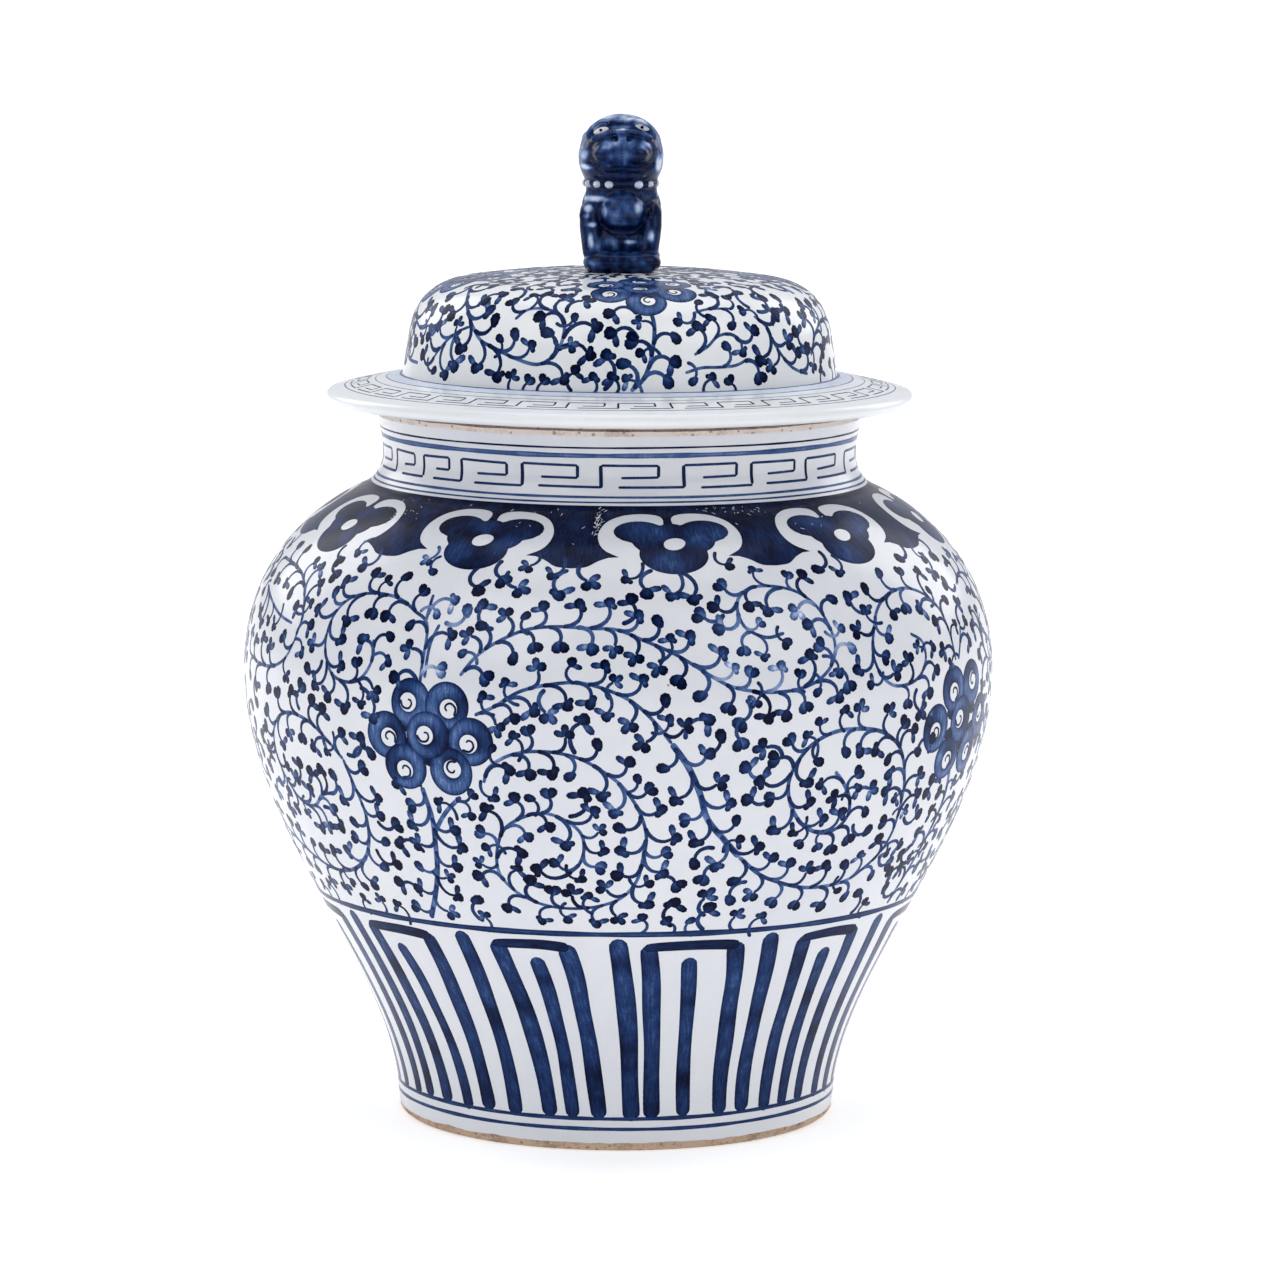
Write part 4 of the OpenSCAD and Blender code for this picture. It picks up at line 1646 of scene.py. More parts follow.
def paint_rosette(work: Brushwork, discs: Sequence[Point], radius: float, eye: float) -> None:
    """Paints discs, each with a bare off-centre eye and a coil in it.

    Args:
        work: The sheet to paint on.
        discs: Middle of each disc.
        radius: Radius of a disc.
        eye: Radius of its eye.
    """
    for k, centre in enumerate(discs):
        scale = work.scale_at(centre[1])
        lean = work.draws.uniform(0, math.tau)
        pooled = work.draws.uniform(0, math.tau)
        shift = 0.14 * radius * way(lean)
        oval = work.draws.uniform(-0.05, 0.05)

        def outer(phi: float) -> np.ndarray:
            """Edge of the disc."""
            return radius * (np.array([1 + oval, 1 - oval]) * way(phi))

        def inner(phi: float) -> np.ndarray:
            """Edge of the eye."""
            return shift + eye * way(phi)

        def ink(phi: float, share: float) -> float:
            """Thin dark rims with a pale middle, pooled on one side."""
            rim = 0.44 * abs(2 * share - 1) ** 3
            return 0.4 + rim + 0.3 * max(0.0, math.cos(phi - pooled)) ** 1.5

        work.annulus(centre, inner, outer, ink, 0.07 + 0.012 * k, 36,
                     (0, 0.06, 0.18, 0.4, 0.65, 0.86, 0.97, 1))
        coil = [(centre[0] + (shift[0] + eye * r * math.cos(lean + a)) / scale,
                 centre[1] + shift[1] + eye * r * math.sin(lean + a))
                for a, r in ((0, 1.0), (0.9, 0.84), (1.9, 0.66), (2.9, 0.5), (3.9, 0.4),
                             (5.0, 0.3))]
        work.stroke(coil, lambda t: (0.34 - 0.1 * t) * eye * 0.95, 0.74, 0.075, step=0.8)


# ---- The lid ----


@dataclass
class Lid:
    """The lid: a brim, a locating ring, a crown and their painting."""

    shop: Workshop
    brim_edge_t: float = 6.0
    crown_lean: float = 6.0
    crown_corner: float = 24.0
    crown_dome: float = 3.0
    crown_wall: float = 6.0
    ring_wall: float = 5.0
    corner_pull: float = 0.6325
    rosette_r: float = 67.0
    rosette_turn: float = 8.0
    petals_reach: Point = (16.2, 15.0)
    disc_r: float = 8.6
    eye_r: float = 3.0
    bare_r: float = 26.0
    fret_low_r: float = 117.6
    fret_high_r: float = 110.4
    fret_back_r: float = 114.8
    fret_units: int = 33

    def __post_init__(self) -> None:
        """Takes the sizes of the frame and works out the outlines."""
        brim_low, brim_high = (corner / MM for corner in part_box("lid_brim"))
        ring_low, ring_high = (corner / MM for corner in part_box("lid_locating_ring"))
        crown_low, crown_high = (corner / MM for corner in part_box("lid_crown"))
        base_low, base_high = (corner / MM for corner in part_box("finial_base"))
        self.brim_r, self.rim_z, self.brim_top = brim_high.x, brim_low.z, brim_high.z
        self.ring_out, self.ring_z = ring_high.x, ring_low.z
        self.crown_r, self.top_z = crown_high.x, crown_high.z
        self.seat_r = math.hypot(base_high.x - base_low.x, base_high.y - base_low.y) / 2
        height = self.top_z - self.brim_top
        foot = np.array([self.crown_r - self.crown_lean * (height - self.crown_corner) / height,
                         self.top_z - self.crown_dome - self.crown_corner])
        end = np.array([self.crown_r - self.crown_lean - self.crown_corner,
                        self.top_z - self.crown_dome])
        side = np.array([-self.crown_lean, height]) / math.hypot(self.crown_lean, height)
        pull = self.corner_pull * self.crown_corner
        reach = end[0] - self.seat_r
        self.crown = [(self.crown_r + (foot[0] - self.crown_r) * i / 6,
                       self.brim_top + (foot[1] - self.brim_top) * i / 6) for i in range(6)]
        self.crown += bezier(tuple(foot), tuple(foot + pull * side),
                             tuple(end + [pull, -self.crown_dome / 4]), tuple(end), 36)
        self.crown += [(end[0] - t * reach, end[1] + self.crown_dome * (2 * t - t * t))
                       for t in (i / 14 for i in range(1, 15))]
        self.outside = Outline([*self.crown, (1.0, self.top_z)])
        r = self.brim_edge_t / 2
        self.edge = [tuple(np.array([self.brim_r - r, self.rim_z + r]) + polar(r, -90 + 15 * i))
                     for i in range(12)]
        self.slope = Outline([*self.edge[6:], (self.crown_r, self.brim_top)])

    def build(self) -> None:
        """Makes the clay and paints it."""
        self.throw()
        self.paint_brim()
        self.paint_crown()

    def throw(self) -> None:
        """Turns the clay pieces."""
        turn, lid, white = self.shop.turn, Body.LID, Slot.PORCELAIN
        ring_in = self.ring_out - self.ring_wall
        turn("lid_brim_turned", [
            (ring_in, self.rim_z), *self.edge, (self.crown_r, self.brim_top),
            (ring_in, self.brim_top)], lid, white, ["lid_brim"], 400, self.shop.lid_painted_lighter)
        turn("lid_locating_ring_turned", [
            (ring_in + 1, self.ring_z), (self.ring_out - 1.2, self.ring_z),
            (self.ring_out, self.ring_z + 1.2), (self.ring_out, self.rim_z),
            (ring_in, self.rim_z), (ring_in, self.ring_z + 1)], lid, Slot.BISCUIT,
            ["lid_locating_ring"])
        inner = [p for p in behind(self.crown, self.crown_wall)[:-1] if p[1] > self.brim_top + 1]
        turn("lid_crown_turned", [
            *self.crown, (2.0, self.top_z), (2.0, self.top_z - self.crown_wall),
            *inner[::-2], (self.crown_r - self.crown_wall, self.brim_top)],
            lid, white, ["lid_crown"], 400, self.shop.lid_painted_lighter)

    def paint_brim(self) -> None:
        """Paints the lines, the wash and the key fret on the brim."""
        work = Brushwork(self.slope, 12)
        draws = work.draws
        at = self.slope.inward
        crown = at(self.crown_r)
        for along, width, ink in ((crown - 0.8, 1.3, 0.42), (crown - 4.2, 5.6, -0.05),
                                  (crown - 7.2, 0.6, 0.34), (at(107.0), 0.5, 0.3),
                                  (at(120.4), 0.6, 0.4)):
            work.ring(along, width, ink, 0.05, 0.06)
        pitch = 360 / self.fret_units
        low, high, back = at(self.fret_low_r), at(self.fret_high_r), at(self.fret_back_r)
        for k in range(self.fret_units):
            start = pitch * k + draws.uniform(-0.4, 0.4)
            reach = pitch * 0.72
            heavy = draws.uniform(0.62, 0.86)
            for path, width in (([(start, low), (start, high)], 1.0),
                                ([(start, high), (start + reach, high)], 0.75),
                                ([(start + reach, high), (start + reach, back)], 0.95),
                                ([(start + reach, back), (start + pitch * 0.3, back)], 0.75),
                                ([(start + pitch * 0.22, low), (start + pitch, low)], 0.75)):
                work.stroke(path, width, lambda t: heavy + 0.12 * math.cos(math.tau * t),
                            0.07, step=2.0)
        self.shop.paint("lid_lines_and_fret", work, Body.LID)

    def paint_crown(self) -> None:
        """Paints the vine and the rosettes on the crown."""
        corner = self.outside.along(self.top_z - 1.2)
        vine = Vine(self.outside, lambda _: 4.0, lambda _: corner + 34, 33, apart=6.9, every=5.5,
                    fill_apart=7.5, sizes=(1.26, 1.12, 0.98))
        work = Brushwork(self.outside, 13)
        seat = self.outside.inward(self.rosette_r)
        rosettes = [(self.rosette_turn + 90 * k, seat) for k in range(4)]
        vine.bare = [(turn, along, self.bare_r) for turn, along in rosettes]
        copies = [*CROWN_STEMS]
        copies += [([(turn + 180, along) for turn, along in path], width)
                   for path, width in CROWN_STEMS]
        vine.grow(work, copies, 1.0)
        vine.edges = [(2.0 * i - 180, 0.0) for i in range(180)]
        vine.fill(9000)
        LOG.info("crown vine: %d leaves", len(vine.leaves))
        self.shop.paint("lid_stems", work, Body.LID)
        self.shop.leaf("lid_leaves", vine, drawn_leaves("crown_leaf", 1.0), Body.LID, -50, 400)
        discs = Brushwork(self.outside, 14)
        for turn, along in rosettes:
            spots = [np.zeros(2)] + [self.petals_reach * way(math.tau * (k + 0.5) / 6)
                                     for k in range(6)]
            scale = discs.scale_at(along)
            places = []
            for x, y in reversed(spots):
                radius = float(self.outside.radius(along - y))
                places.append((turn + x / (radius * discs.unit), along - y))
            paint_rosette(discs, places, self.disc_r, self.eye_r)
            for a in (math.tau * k / 6 for k in range(6)):
                discs.dab((turn + 10.6 * math.cos(a) / scale, along + 9.8 * math.sin(a)), 6.0,
                          5.4, 0, 0.86, 0.05)
        self.shop.paint("lid_rosettes", discs, Body.LID)


BODY_STEMS: list[tuple[list[Point], float]] = [
    ([(-30, 224), (-30, 247), (-33, 254), (-37, 259), (-42, 260), (-46.5, 257), (-49, 250),
      (-49.8, 241), (-49.3, 232), (-47.5, 224), (-45, 221), (-42, 221.5), (-40, 226), (-39, 233),
      (-39.5, 240)], 1.8),
    ([(-29.3, 226), (-29, 240), (-28, 249)], 1.8),
    ([(-30.5, 250), (-30.5, 262)], 1.8),
    ([(-23.5, 228), (-21, 237), (-17.5, 244), (-13.5, 249), (-9, 250.5), (-4, 250), (0, 249.5),
      (4, 245), (8, 240), (11, 235), (14, 229.5), (17, 225), (21, 222.5), (25, 222), (28, 223),
      (31, 226), (33.5, 232), (34.5, 240), (34, 249), (32.5, 258), (29.5, 265), (25, 268),
      (21.5, 267), (19.3, 262), (19, 255), (20, 249), (23, 245), (26, 246.5)], 1.8),
    ([(-21, 212), (-18, 216), (-14, 223), (-9, 226.5), (-5, 227), (-1, 224), (2.5, 219),
      (5.5, 211), (8, 202)], 1.8),
    ([(8, 202), (10.5, 192), (12.5, 180), (14, 168), (17, 158), (20, 149)], 3.3),
    ([(20, 149), (24, 140), (28, 135), (33, 131), (38, 130), (43, 131.5), (46, 136), (49, 143),
      (50.5, 152), (50.5, 163), (50, 175), (48.5, 187), (46.5, 195), (43, 201), (39, 203.5),
      (34, 203.5), (30, 199), (27.5, 191), (26.5, 182), (27.5, 172), (30, 163), (33.5, 158),
      (36.5, 158.5), (38.5, 164), (38.3, 172), (36.5, 180), (34.5, 186)], 2.2),
    ([(-20, 183), (-19, 190), (-15.5, 196), (-11, 198), (-6, 196), (-2, 190), (1, 183),
      (3.5, 172), (4.7, 160), (4.2, 148), (3.5, 139), (1.5, 131), (-1.5, 126.5), (-6, 124),
      (-11, 124.5), (-15, 128), (-18, 134), (-19.5, 142), (-19, 153), (-17.5, 162),
      (-14.5, 168), (-11, 170.5), (-8, 168), (-5.5, 162), (-5, 154), (-6, 146), (-8.5, 140)],
     1.8),
    ([(-30.5, 179), (-29.6, 165), (-30, 152), (-31, 138), (-33, 125), (-35.5, 113)], 3.0),
    ([(-24, 176), (-27, 168), (-29.5, 158), (-30, 152)], 2.4),
    ([(-45.5, 187), (-44, 175), (-43, 163), (-44, 150), (-47, 139), (-52, 132), (-58, 130),
      (-64, 133), (-70, 138), (-75, 142)], 2.2),
    ([(-45.5, 187), (-49, 195), (-53, 201), (-58, 203), (-62, 200), (-65, 192), (-65.5, 181),
      (-63.5, 170), (-60, 162), (-56, 162), (-53, 168), (-50, 170)], 2.0),
    ([(-58, 234), (-57.5, 245), (-60, 256), (-64, 263), (-70, 266), (-77, 267)], 1.8),
    ([(-58, 234), (-60, 226), (-64, 221), (-70, 220), (-76, 222)], 1.8),
    ([(-77, 253), (-70, 247), (-65, 243), (-60, 241)], 1.6),
    ([(60, 113), (62, 130), (64, 150), (64.5, 165), (63, 180)], 3.0),
    ([(62, 226), (61.5, 238), (60.5, 249), (57.5, 257), (53, 261), (48, 259), (44.5, 253),
      (42.5, 244), (41.5, 235), (42.5, 226), (45, 220.5), (48.5, 220), (51.5, 223), (53.3, 230),
      (53, 237), (50.5, 241)], 1.8),
    ([(63, 226), (66, 240)], 1.8),
]

CROWN_STEMS: list[tuple[list[Point], float]] = [
    ([(3, 0.5), (6, 5), (8, 12), (9, 20), (9.5, 28), (9, 34)], 2.2),
    ([(17.3, 8), (22, 10), (27, 10), (32, 10.5), (36, 13)], 1.6),
    ([(20, 15.5), (24, 19), (27, 23), (31, 24), (33.5, 21)], 1.6),
    ([(21, 34), (26, 36), (33, 36)], 1.6),
    ([(40.5, 31.5), (44, 26), (45, 21), (47.5, 15), (51, 9), (55, 6), (59, 4.5)], 1.8),
    ([(62, 12), (66, 20), (72, 25), (80, 26), (88, 22), (95, 14), (103, 8), (112, 7)], 1.8),
    ([(78, 40), (86, 38), (94, 33), (102, 26), (110, 22), (116, 24)], 1.6),
    ([(-60, 50), (-54, 42), (-49, 34), (-44, 26), (-40, 20), (-35, 17), (-28, 13), (-22, 11),
      (-18, 14), (-15.5, 20), (-15, 28), (-17, 33), (-22, 36), (-27, 35), (-30, 30)], 1.9),
    ([(-44, 26), (-50, 22), (-56, 15), (-60, 8)], 1.6),
]


# ---- The lion ----


def relax(places: np.ndarray, edges: np.ndarray, rounds: int) -> np.ndarray:
    """Smooths a surface.

    Args:
        places: Its points.
        edges: The pairs of points that are joined.
        rounds: How often each point moves halfway to the middle of its neighbours.

    Returns:
        The smoothed points.
    """
    near = np.bincount(edges.ravel(), minlength=len(places))[:, None]
    for _ in range(rounds):
        total = np.zeros_like(places)
        np.add.at(total, edges[:, 0], places[edges[:, 1]])
        np.add.at(total, edges[:, 1], places[edges[:, 0]])
        places = (places + total / near) / 2
    return places


class Clay:
    """Lumps and rolls of clay, pressed together under one closed skin."""

    def __init__(self) -> None:
        """Starts without clay and with round lumps of each fineness to copy."""
        self.verts: list[np.ndarray] = []
        self.faces: list[np.ndarray] = []
        self.count = 0
        self.balls: dict[int, tuple[np.ndarray, np.ndarray]] = {}

    def press(self, verts: np.ndarray, faces: np.ndarray) -> None:
        """Adds the points and triangles of one lump."""
        self.verts.append(verts)
        self.faces.append(faces + self.count)
        self.count += len(verts)

    def ball(self, fine: int) -> tuple[np.ndarray, np.ndarray]:
        """Points and triangles of a round lump of radius 1, for a fineness."""
        if fine not in self.balls:
            shape = bmesh.new()
            bmesh.ops.create_icosphere(shape, subdivisions=fine, radius=1)
            self.balls[fine] = (np.array([v.co for v in shape.verts]),
                                np.array([[v.index for v in f.verts] for f in shape.faces]))
            shape.free()
        return self.balls[fine]

    def lump(self, centre: Place, radii: Place, fine: int = 4, turn: Matrix | None = None) -> None:
        """Adds an egg-shaped lump.

        Args:
            centre: Its middle.
            radii: Its three radii.
            fine: How finely it is made.
            turn: How it is turned.
        """
        verts, faces = self.ball(fine)
        spun = np.array((turn or Matrix()).to_3x3())
        self.press(verts * radii @ spun.T + centre, faces)

    def roll(self, path: Sequence[Place], thick: float) -> None:
        """Adds a round roll along a path of straight parts.

        Args:
            path: Points of its middle line.
            thick: Its radius.
        """
        for a, b in zip(path, path[1:]):
            parts = max(1, math.ceil(math.dist(a, b) / (0.45 * thick)))
            for i in range(parts):
                self.lump(tuple(Vector(a).lerp(Vector(b), i / parts)), (thick,) * 3, 2)
        self.lump(path[-1], (thick,) * 3, 2)

    def coil(self, centre: Place, outward: Vector, size: float, thick: float, hand: int) -> None:
        """Adds a flat coil, as one lock of the mane.

        Args:
            centre: Its middle.
            outward: The direction that it faces.
            size: Its radius.
            thick: Radius of the roll that is coiled.
            hand: 1, or -1 for a coil that turns the other way.
        """
        across = outward.cross(Vector((0, 0, 1))).normalized()
        up = across.cross(outward)
        path = []
        for i in range(15):
            angle, reach = hand * 0.62 * i, size * (1 - i / 16)
            path.append(tuple(Vector(centre) + reach * (math.cos(angle) * across
                                                        + math.sin(angle) * up)))
        self.roll(path, thick)

    def slab(self, low: Place, high: Place, round_off: float) -> None:
        """Adds a block with rounded edges.

        Args:
            low: Its lowest corner.
            high: Its highest corner.
            round_off: Radius of its edges.
        """
        middle = (Vector(low) + Vector(high)) / 2
        size = Vector(high) - Vector(low)
        shape = bmesh.new()
        bmesh.ops.create_cube(shape, size=1, matrix=Matrix.Translation(middle)
                              @ Matrix.Diagonal((*size, 1)))
        bmesh.ops.bevel(shape, geom=shape.edges[:], offset=round_off, segments=5, profile=0.5,
                        affect="EDGES")
        bmesh.ops.triangulate(shape, faces=shape.faces[:])
        shape.verts.index_update()
        self.press(np.array([v.co for v in shape.verts]),
                   np.array([[v.index for v in f.verts] for f in shape.faces]))
        shape.free()

    def mesh(self, name: str) -> bpy.types.Mesh:
        """The clay as it is, each lump by itself."""
        data = bpy.data.meshes.new(name)
        data.from_pydata(np.vstack(self.verts).tolist(), [], np.vstack(self.faces).tolist())
        data.update()
        return data

    def pressed(self, name: str, voxel: float, rounds: int) -> bpy.types.Mesh:
        """Presses the clay together.

        Args:
            name: Name of the mesh.
            voxel: Size of the skin's cells.
            rounds: How often the skin is smoothed.

        Returns:
            The closed skin, in millimetres.
        """
        helper = bpy.data.objects.new(name + "_work", self.mesh(name + "_loose"))
        bpy.context.scene.collection.objects.link(helper)
        skin = helper.modifiers.new("skin", "REMESH")
        skin.mode, skin.voxel_size = "VOXEL", voxel
        depsgraph = bpy.context.evaluated_depsgraph_get()
        data = bpy.data.meshes.new_from_object(helper.evaluated_get(depsgraph))
        bpy.data.objects.remove(helper)
        move_points(data, relax(*skin_of(data), rounds))
        return data


def skin_of(data: bpy.types.Mesh) -> tuple[np.ndarray, np.ndarray]:
    """The points of a mesh and the pairs that its edges join."""
    places = np.zeros(len(data.vertices) * 3)
    data.vertices.foreach_get("co", places)
    edges = np.zeros(len(data.edges) * 2, np.int32)
    data.edges.foreach_get("vertices", edges)
    return places.reshape(-1, 3), edges.reshape(-1, 2)


def normals_of(data: bpy.types.Mesh) -> np.ndarray:
    """The normals of a mesh's points."""
    normals = np.zeros(len(data.vertices) * 3)
    data.vertices.foreach_get("normal", normals)
    return normals.reshape(-1, 3)


def move_points(data: bpy.types.Mesh, places: np.ndarray) -> None:
    """Puts the points of a mesh somewhere else."""
    data.vertices.foreach_set("co", places.ravel())
    data.update()


@dataclass
class Lion:
    """The finial: a seated guardian lion on a slab, under cobalt glaze.

    Heights inside the class are over the top of the crown, X is to the right of someone who
    faces the lion, and the lion looks towards -Y.
    """

    shop: Workshop
    voxel: float = 0.62
    head: Place = (0.0, 0.0, 49.6)
    head_r: float = 18.6
    collar_h: float = 38.2
    collar_r: float = 15.8
    bead_r: float = 2.0
    thin: float = 0.76
    pooling: float = 0.3
    contrast: float = 1.35
    deepest: float = 0.9

    def __post_init__(self) -> None:
        """Takes the height of the crown's top from the frame."""
        self.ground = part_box("finial_base")[0].z / MM

    def build(self) -> None:
        """Models and glazes the lion and its slab."""
        body = self.model_body()
        self.model_slab()
        self.add_eyes(body)
        self.add_beads()

    def model_slab(self) -> None:
        """Models the slab with the paws that rest on it."""
        clay = Clay()
        clay.slab((-16.0, -15.6, -0.2), (15.8, 18.6, 8.6), 3.8)
        clay.lump((0.7, -14.8, 4.4), (10.5, 5.4, 4.8))
        for side in (-1, 1):
            clay.lump((0.7 + 8.0 * side, -14.0, 4.6), (9.0, 6.6, 5.2))
            clay.lump((0.5 + 12.2 * side, 3.5, 6.2), (4.6, 9.5, 4.0))
            for toe in (-4.6, 0.0, 4.6):
                clay.lump((0.7 + 7.8 * side + toe, -17.0, 3.4), (2.5, 2.4, 3.1), 3)
        self.glaze("finial_slab_glazed", clay.pressed("slab", self.voxel, 3), ("finial_base",))

    def model_body(self) -> bpy.types.Mesh:
        """Models the lion.

        Returns:
            Its closed skin, in millimetres over the crown.
        """
        clay = Clay()
        clay.lump((0.2, 1.0, 26.5), (17.6, 15.8, 17.0))
        clay.lump((0.6, 0.6, 14.0), (16.0, 16.6, 10.5))
        clay.roll([(0.2, 0.6, 28), (0.2, 0.6, 44)], 16.6)
        clay.lump(self.head, (self.head_r, self.head_r, self.head_r + 0.1), 5)
        clay.lump((0.3, 0.0, 54.0), (17.4, 16.4, 14.3), 5)
        clay.lump((0.3, -6.4, 52.4), (16.4, 12.0, 12.6))
        clay.lump((0.4, -12.6, 52.6), (13.2, 8.6, 8.4))
        clay.lump((0.4, -18.0, 56.0), (5.2, 4.4, 3.6))
        clay.lump((0.4, -12.4, 42.4), (10.6, 6.4, 3.4))
        clay.lump((0.8, -11.5, 26.6), (9.6, 8.2, 9.4))
        clay.roll([(-12.4, -13.2, 58.2), (-8.4, -15.8, 59.6), (-4.6, -18.0, 61.0),
                   (0.4, -18.8, 61.6), (5.4, -18.0, 61.3), (9.6, -15.8, 60.4),
                   (13.2, -13.0, 58.4)], 1.15)
        for side in (-1, 1):
            clay.roll([(15.0 * side, -8.6, 59.2), (12.6 * side, -10.8, 63.0),
                       (8.6 * side, -11.4, 65.6), (4.0 * side, -11.6, 66.2),
                       (1.2 * side, -12.6, 65.4)], 1.1)
            clay.lump((6.2 * side, -17.2, 51.4), (5.8, 4.4, 4.2))
            clay.lump((14.6 * side, 2.5, 56.0), (2.9, 3.2, 4.6))
            clay.roll([(13.3 * side, -8.2, 26.0), (13.3 * side, -10.4, 19.5),
                       (12.0 * side, -12.6, 9.5)], 4.9)
            clay.lump((12.4 * side, 7.0, 15.2), (5.2, 9.0, 8.2))
            clay.coil((15.2 * side, -11.8, 24.6),
                      Vector((0.66 * side, -0.75, 0.05)).normalized(), 3.0, 0.95, side)
            clay.coil((15.9 * side, 7.4, 16.6), Vector((side, 0.1, 0.1)).normalized(), 4.2, 0.9,
                      -side)
            clay.roll([(1.0 * side, 16.4, 12), (3.0 * side, 17.6, 19), (5.4 * side, 17.0, 26),
                       (4.0 * side, 16.8, 31)], 1.9)
        clay.roll([(0, 16.0, 9), (0, 18.2, 18), (0, 17.6, 28), (0, 16.0, 35)], 2.5)
        clay.roll([(self.collar_r * math.sin(a) * 0.99, -self.collar_r * math.cos(a) * 0.99,
                    self.collar_h) for a in (math.tau * k / 48 for k in range(49))], 1.0)
        self.add_mane(clay)
        data = clay.pressed("lion", self.voxel, 5)
        self.carve(data)
        self.glaze("lion_glazed", data, ("lion_front", "lion_back"))
        return data

    def add_mane(self, clay: Clay) -> None:
        """Adds the rows of coiled locks behind the face."""
        for row, (height, first) in enumerate(((63.5, 100), (58.0, 84), (51.6, 80), (45.0, 84))):
            level = (height - self.head[2]) / self.head_r
            flat = math.sqrt(1 - level * level)
            count = max(4, round(2 * (180 - first) * flat / 24))
            for k in range(count + 1):
                turn = math.radians(first + (360 - 2 * first) * k / count)
                outward = Vector((flat * math.sin(turn), -flat * math.cos(turn), level))
                spot = Vector(self.head) + (self.head_r - 0.75) * outward
                clay.coil(tuple(spot), outward, 2.75, 0.85, 1 if (k + row) % 2 else -1)

    def carve(self, data: bpy.types.Mesh) -> None:
        """Cuts the nostrils, the mouth and the folds of the face and the chest.

        Args:
            data: The lion's skin.
        """
        places, _ = skin_of(data)
        front = places[:, 1] < -5
        cuts = np.zeros(len(places))
        for path, wide, deep in LION_CUTS:
            line = np.array(path, float)
            nearest = np.full(len(places), 99.0)
            for a, b in zip(line, line[1:]):
                for share in np.linspace(0, 1, 7):
                    spot = a + (b - a) * share
                    nearest = np.minimum(nearest, np.hypot(places[:, 0] - spot[0],
                                                           places[:, 2] - spot[1]))
            cuts = np.maximum(cuts, deep * np.exp(-(nearest / wide) ** 2))
        move_points(data, places - (cuts * front)[:, None] * normals_of(data))

    def glaze(self, name: str, data: bpy.types.Mesh, nodes: Sequence[str]) -> None:
        """Gives a skin its glaze, thin on the ridges and pooled in the hollows, with painted
        highlights on top and flanks.

        Args:
            name: Name of the piece.
            data: The skin, in millimetres over the crown.
            nodes: The CAD nodes that it stands for.
        """
        places, edges = skin_of(data)
        hollow = ((relax(places, edges, 26) - places) * normals_of(data)).sum(axis=1)
        ink = self.thin + np.clip(self.pooling * hollow, -0.3, 0.2)
        x, y, height = places.T
        for across, up, wide, high, change in LION_MARKS:
            gap = ((x - across) / wide) ** 2 + ((height - up) / high) ** 2
            ink += np.where(y < -1, self.contrast * change, 0.0) * np.exp(-gap * gap)
        # Painted highlights: the top of the head and the upper outer flanks are painted paler, for
        # the sheen along the outline.
        ink -= 0.5 * np.clip((height - 61.5) / 5, 0, 1)
        ink -= 0.34 * np.clip((np.abs(x) - 14.8) / 2.6, 0, 1) * np.clip((height - 28) / 8, 0, 1)
        ink += [0.28 * noise.noise(Vector((px * 0.12, py * 0.12, pz * 0.1)))
                + 0.26 * noise.noise(Vector((px * 0.36, py * 0.36, pz * 0.22)))
                for px, py, pz in places]
        ink = np.minimum(ink, self.deepest)
        final = data.copy()
        round_axis = np.arctan2(x, -y) * 17
        final.attributes.new("brush", "FLOAT_VECTOR", "POINT").data.foreach_set(
            "vector", np.stack([round_axis, height, 0 * x], axis=1).astype(np.float32).ravel())
        final.materials.clear()
        self.seat(name, final, ink, Slot.COBALT, self.shop.lion_glaze, nodes)

    def seat(self, name: str, data: bpy.types.Mesh, ink: Sequence[float], slot: Slot,
             material: bpy.types.Material, nodes: Sequence[str] = ()) -> None:
        """Puts a finished mesh on the crown.

        Args:
            name: Name of the piece.
            data: Its mesh, in millimetres over the crown.
            ink: Ink of each of its points.
            slot: Its material slot.
            material: Its finish.
            nodes: The CAD nodes that it stands for.
        """
        data.transform(Matrix.Translation((0, 0, self.ground)))
        data.transform(Matrix.Scale(MM, 4))
        data.attributes.new("ink", "FLOAT", "POINT").data.foreach_set("value", ink)
        data.materials.append(material)
        data.shade_smooth()
        self.shop.keep(name, data, Body.LID, slot, nodes)

    def lumps_piece(self, name: str, clay: Clay, ink: float, slot: Slot,
                    material: bpy.types.Material) -> None:
        """Makes a piece of small lumps that are left apart.

        Args:
            name: Name of the piece.
            clay: The lumps.
            ink: Their ink.
            slot: Their material slot.
            material: Their finish.
        """
        data = clay.mesh(name)
        inks = [ink + 0.3 * max(0.0, abs(v.normal.z) - 0.55) for v in data.vertices]
        self.seat(name, data, inks, slot, material)

    def add_eyes(self, body: bpy.types.Mesh) -> None:
        """Adds the white eyes and their pupils.

        Args:
            body: The lion's skin.
        """
        tree = BVHTree.FromPolygons([v.co for v in body.vertices],
                                    [list(p.vertices) for p in body.polygons])
        whites, pupils = Clay(), Clay()
        for x, height, tilt in ((-8.6, 61.2, 17.0), (9.0, 62.6, -6.0)):
            spot, facing, _, _ = tree.ray_cast(Vector((x, -60, height)), Vector((0, 1, 0)))
            facing = (facing + Vector((0, -1.2, 0))).normalized()
            turn = facing.to_track_quat("Z", "Y").to_matrix().to_4x4()
            turn = turn @ Matrix.Rotation(math.radians(tilt), 4, "Z")
            whites.lump(tuple(spot + 0.2 * facing), (3.5, 1.6, 0.95), 3, turn)
            pupils.lump(tuple(spot + 0.95 * facing), (0.85, 0.75, 0.4), 2, turn)
        self.lumps_piece("lion_eyes", whites, 0.0, Slot.PORCELAIN, self.shop.porcelain)
        self.lumps_piece("lion_pupils", pupils, 1.1, Slot.COBALT, self.shop.cobalt)

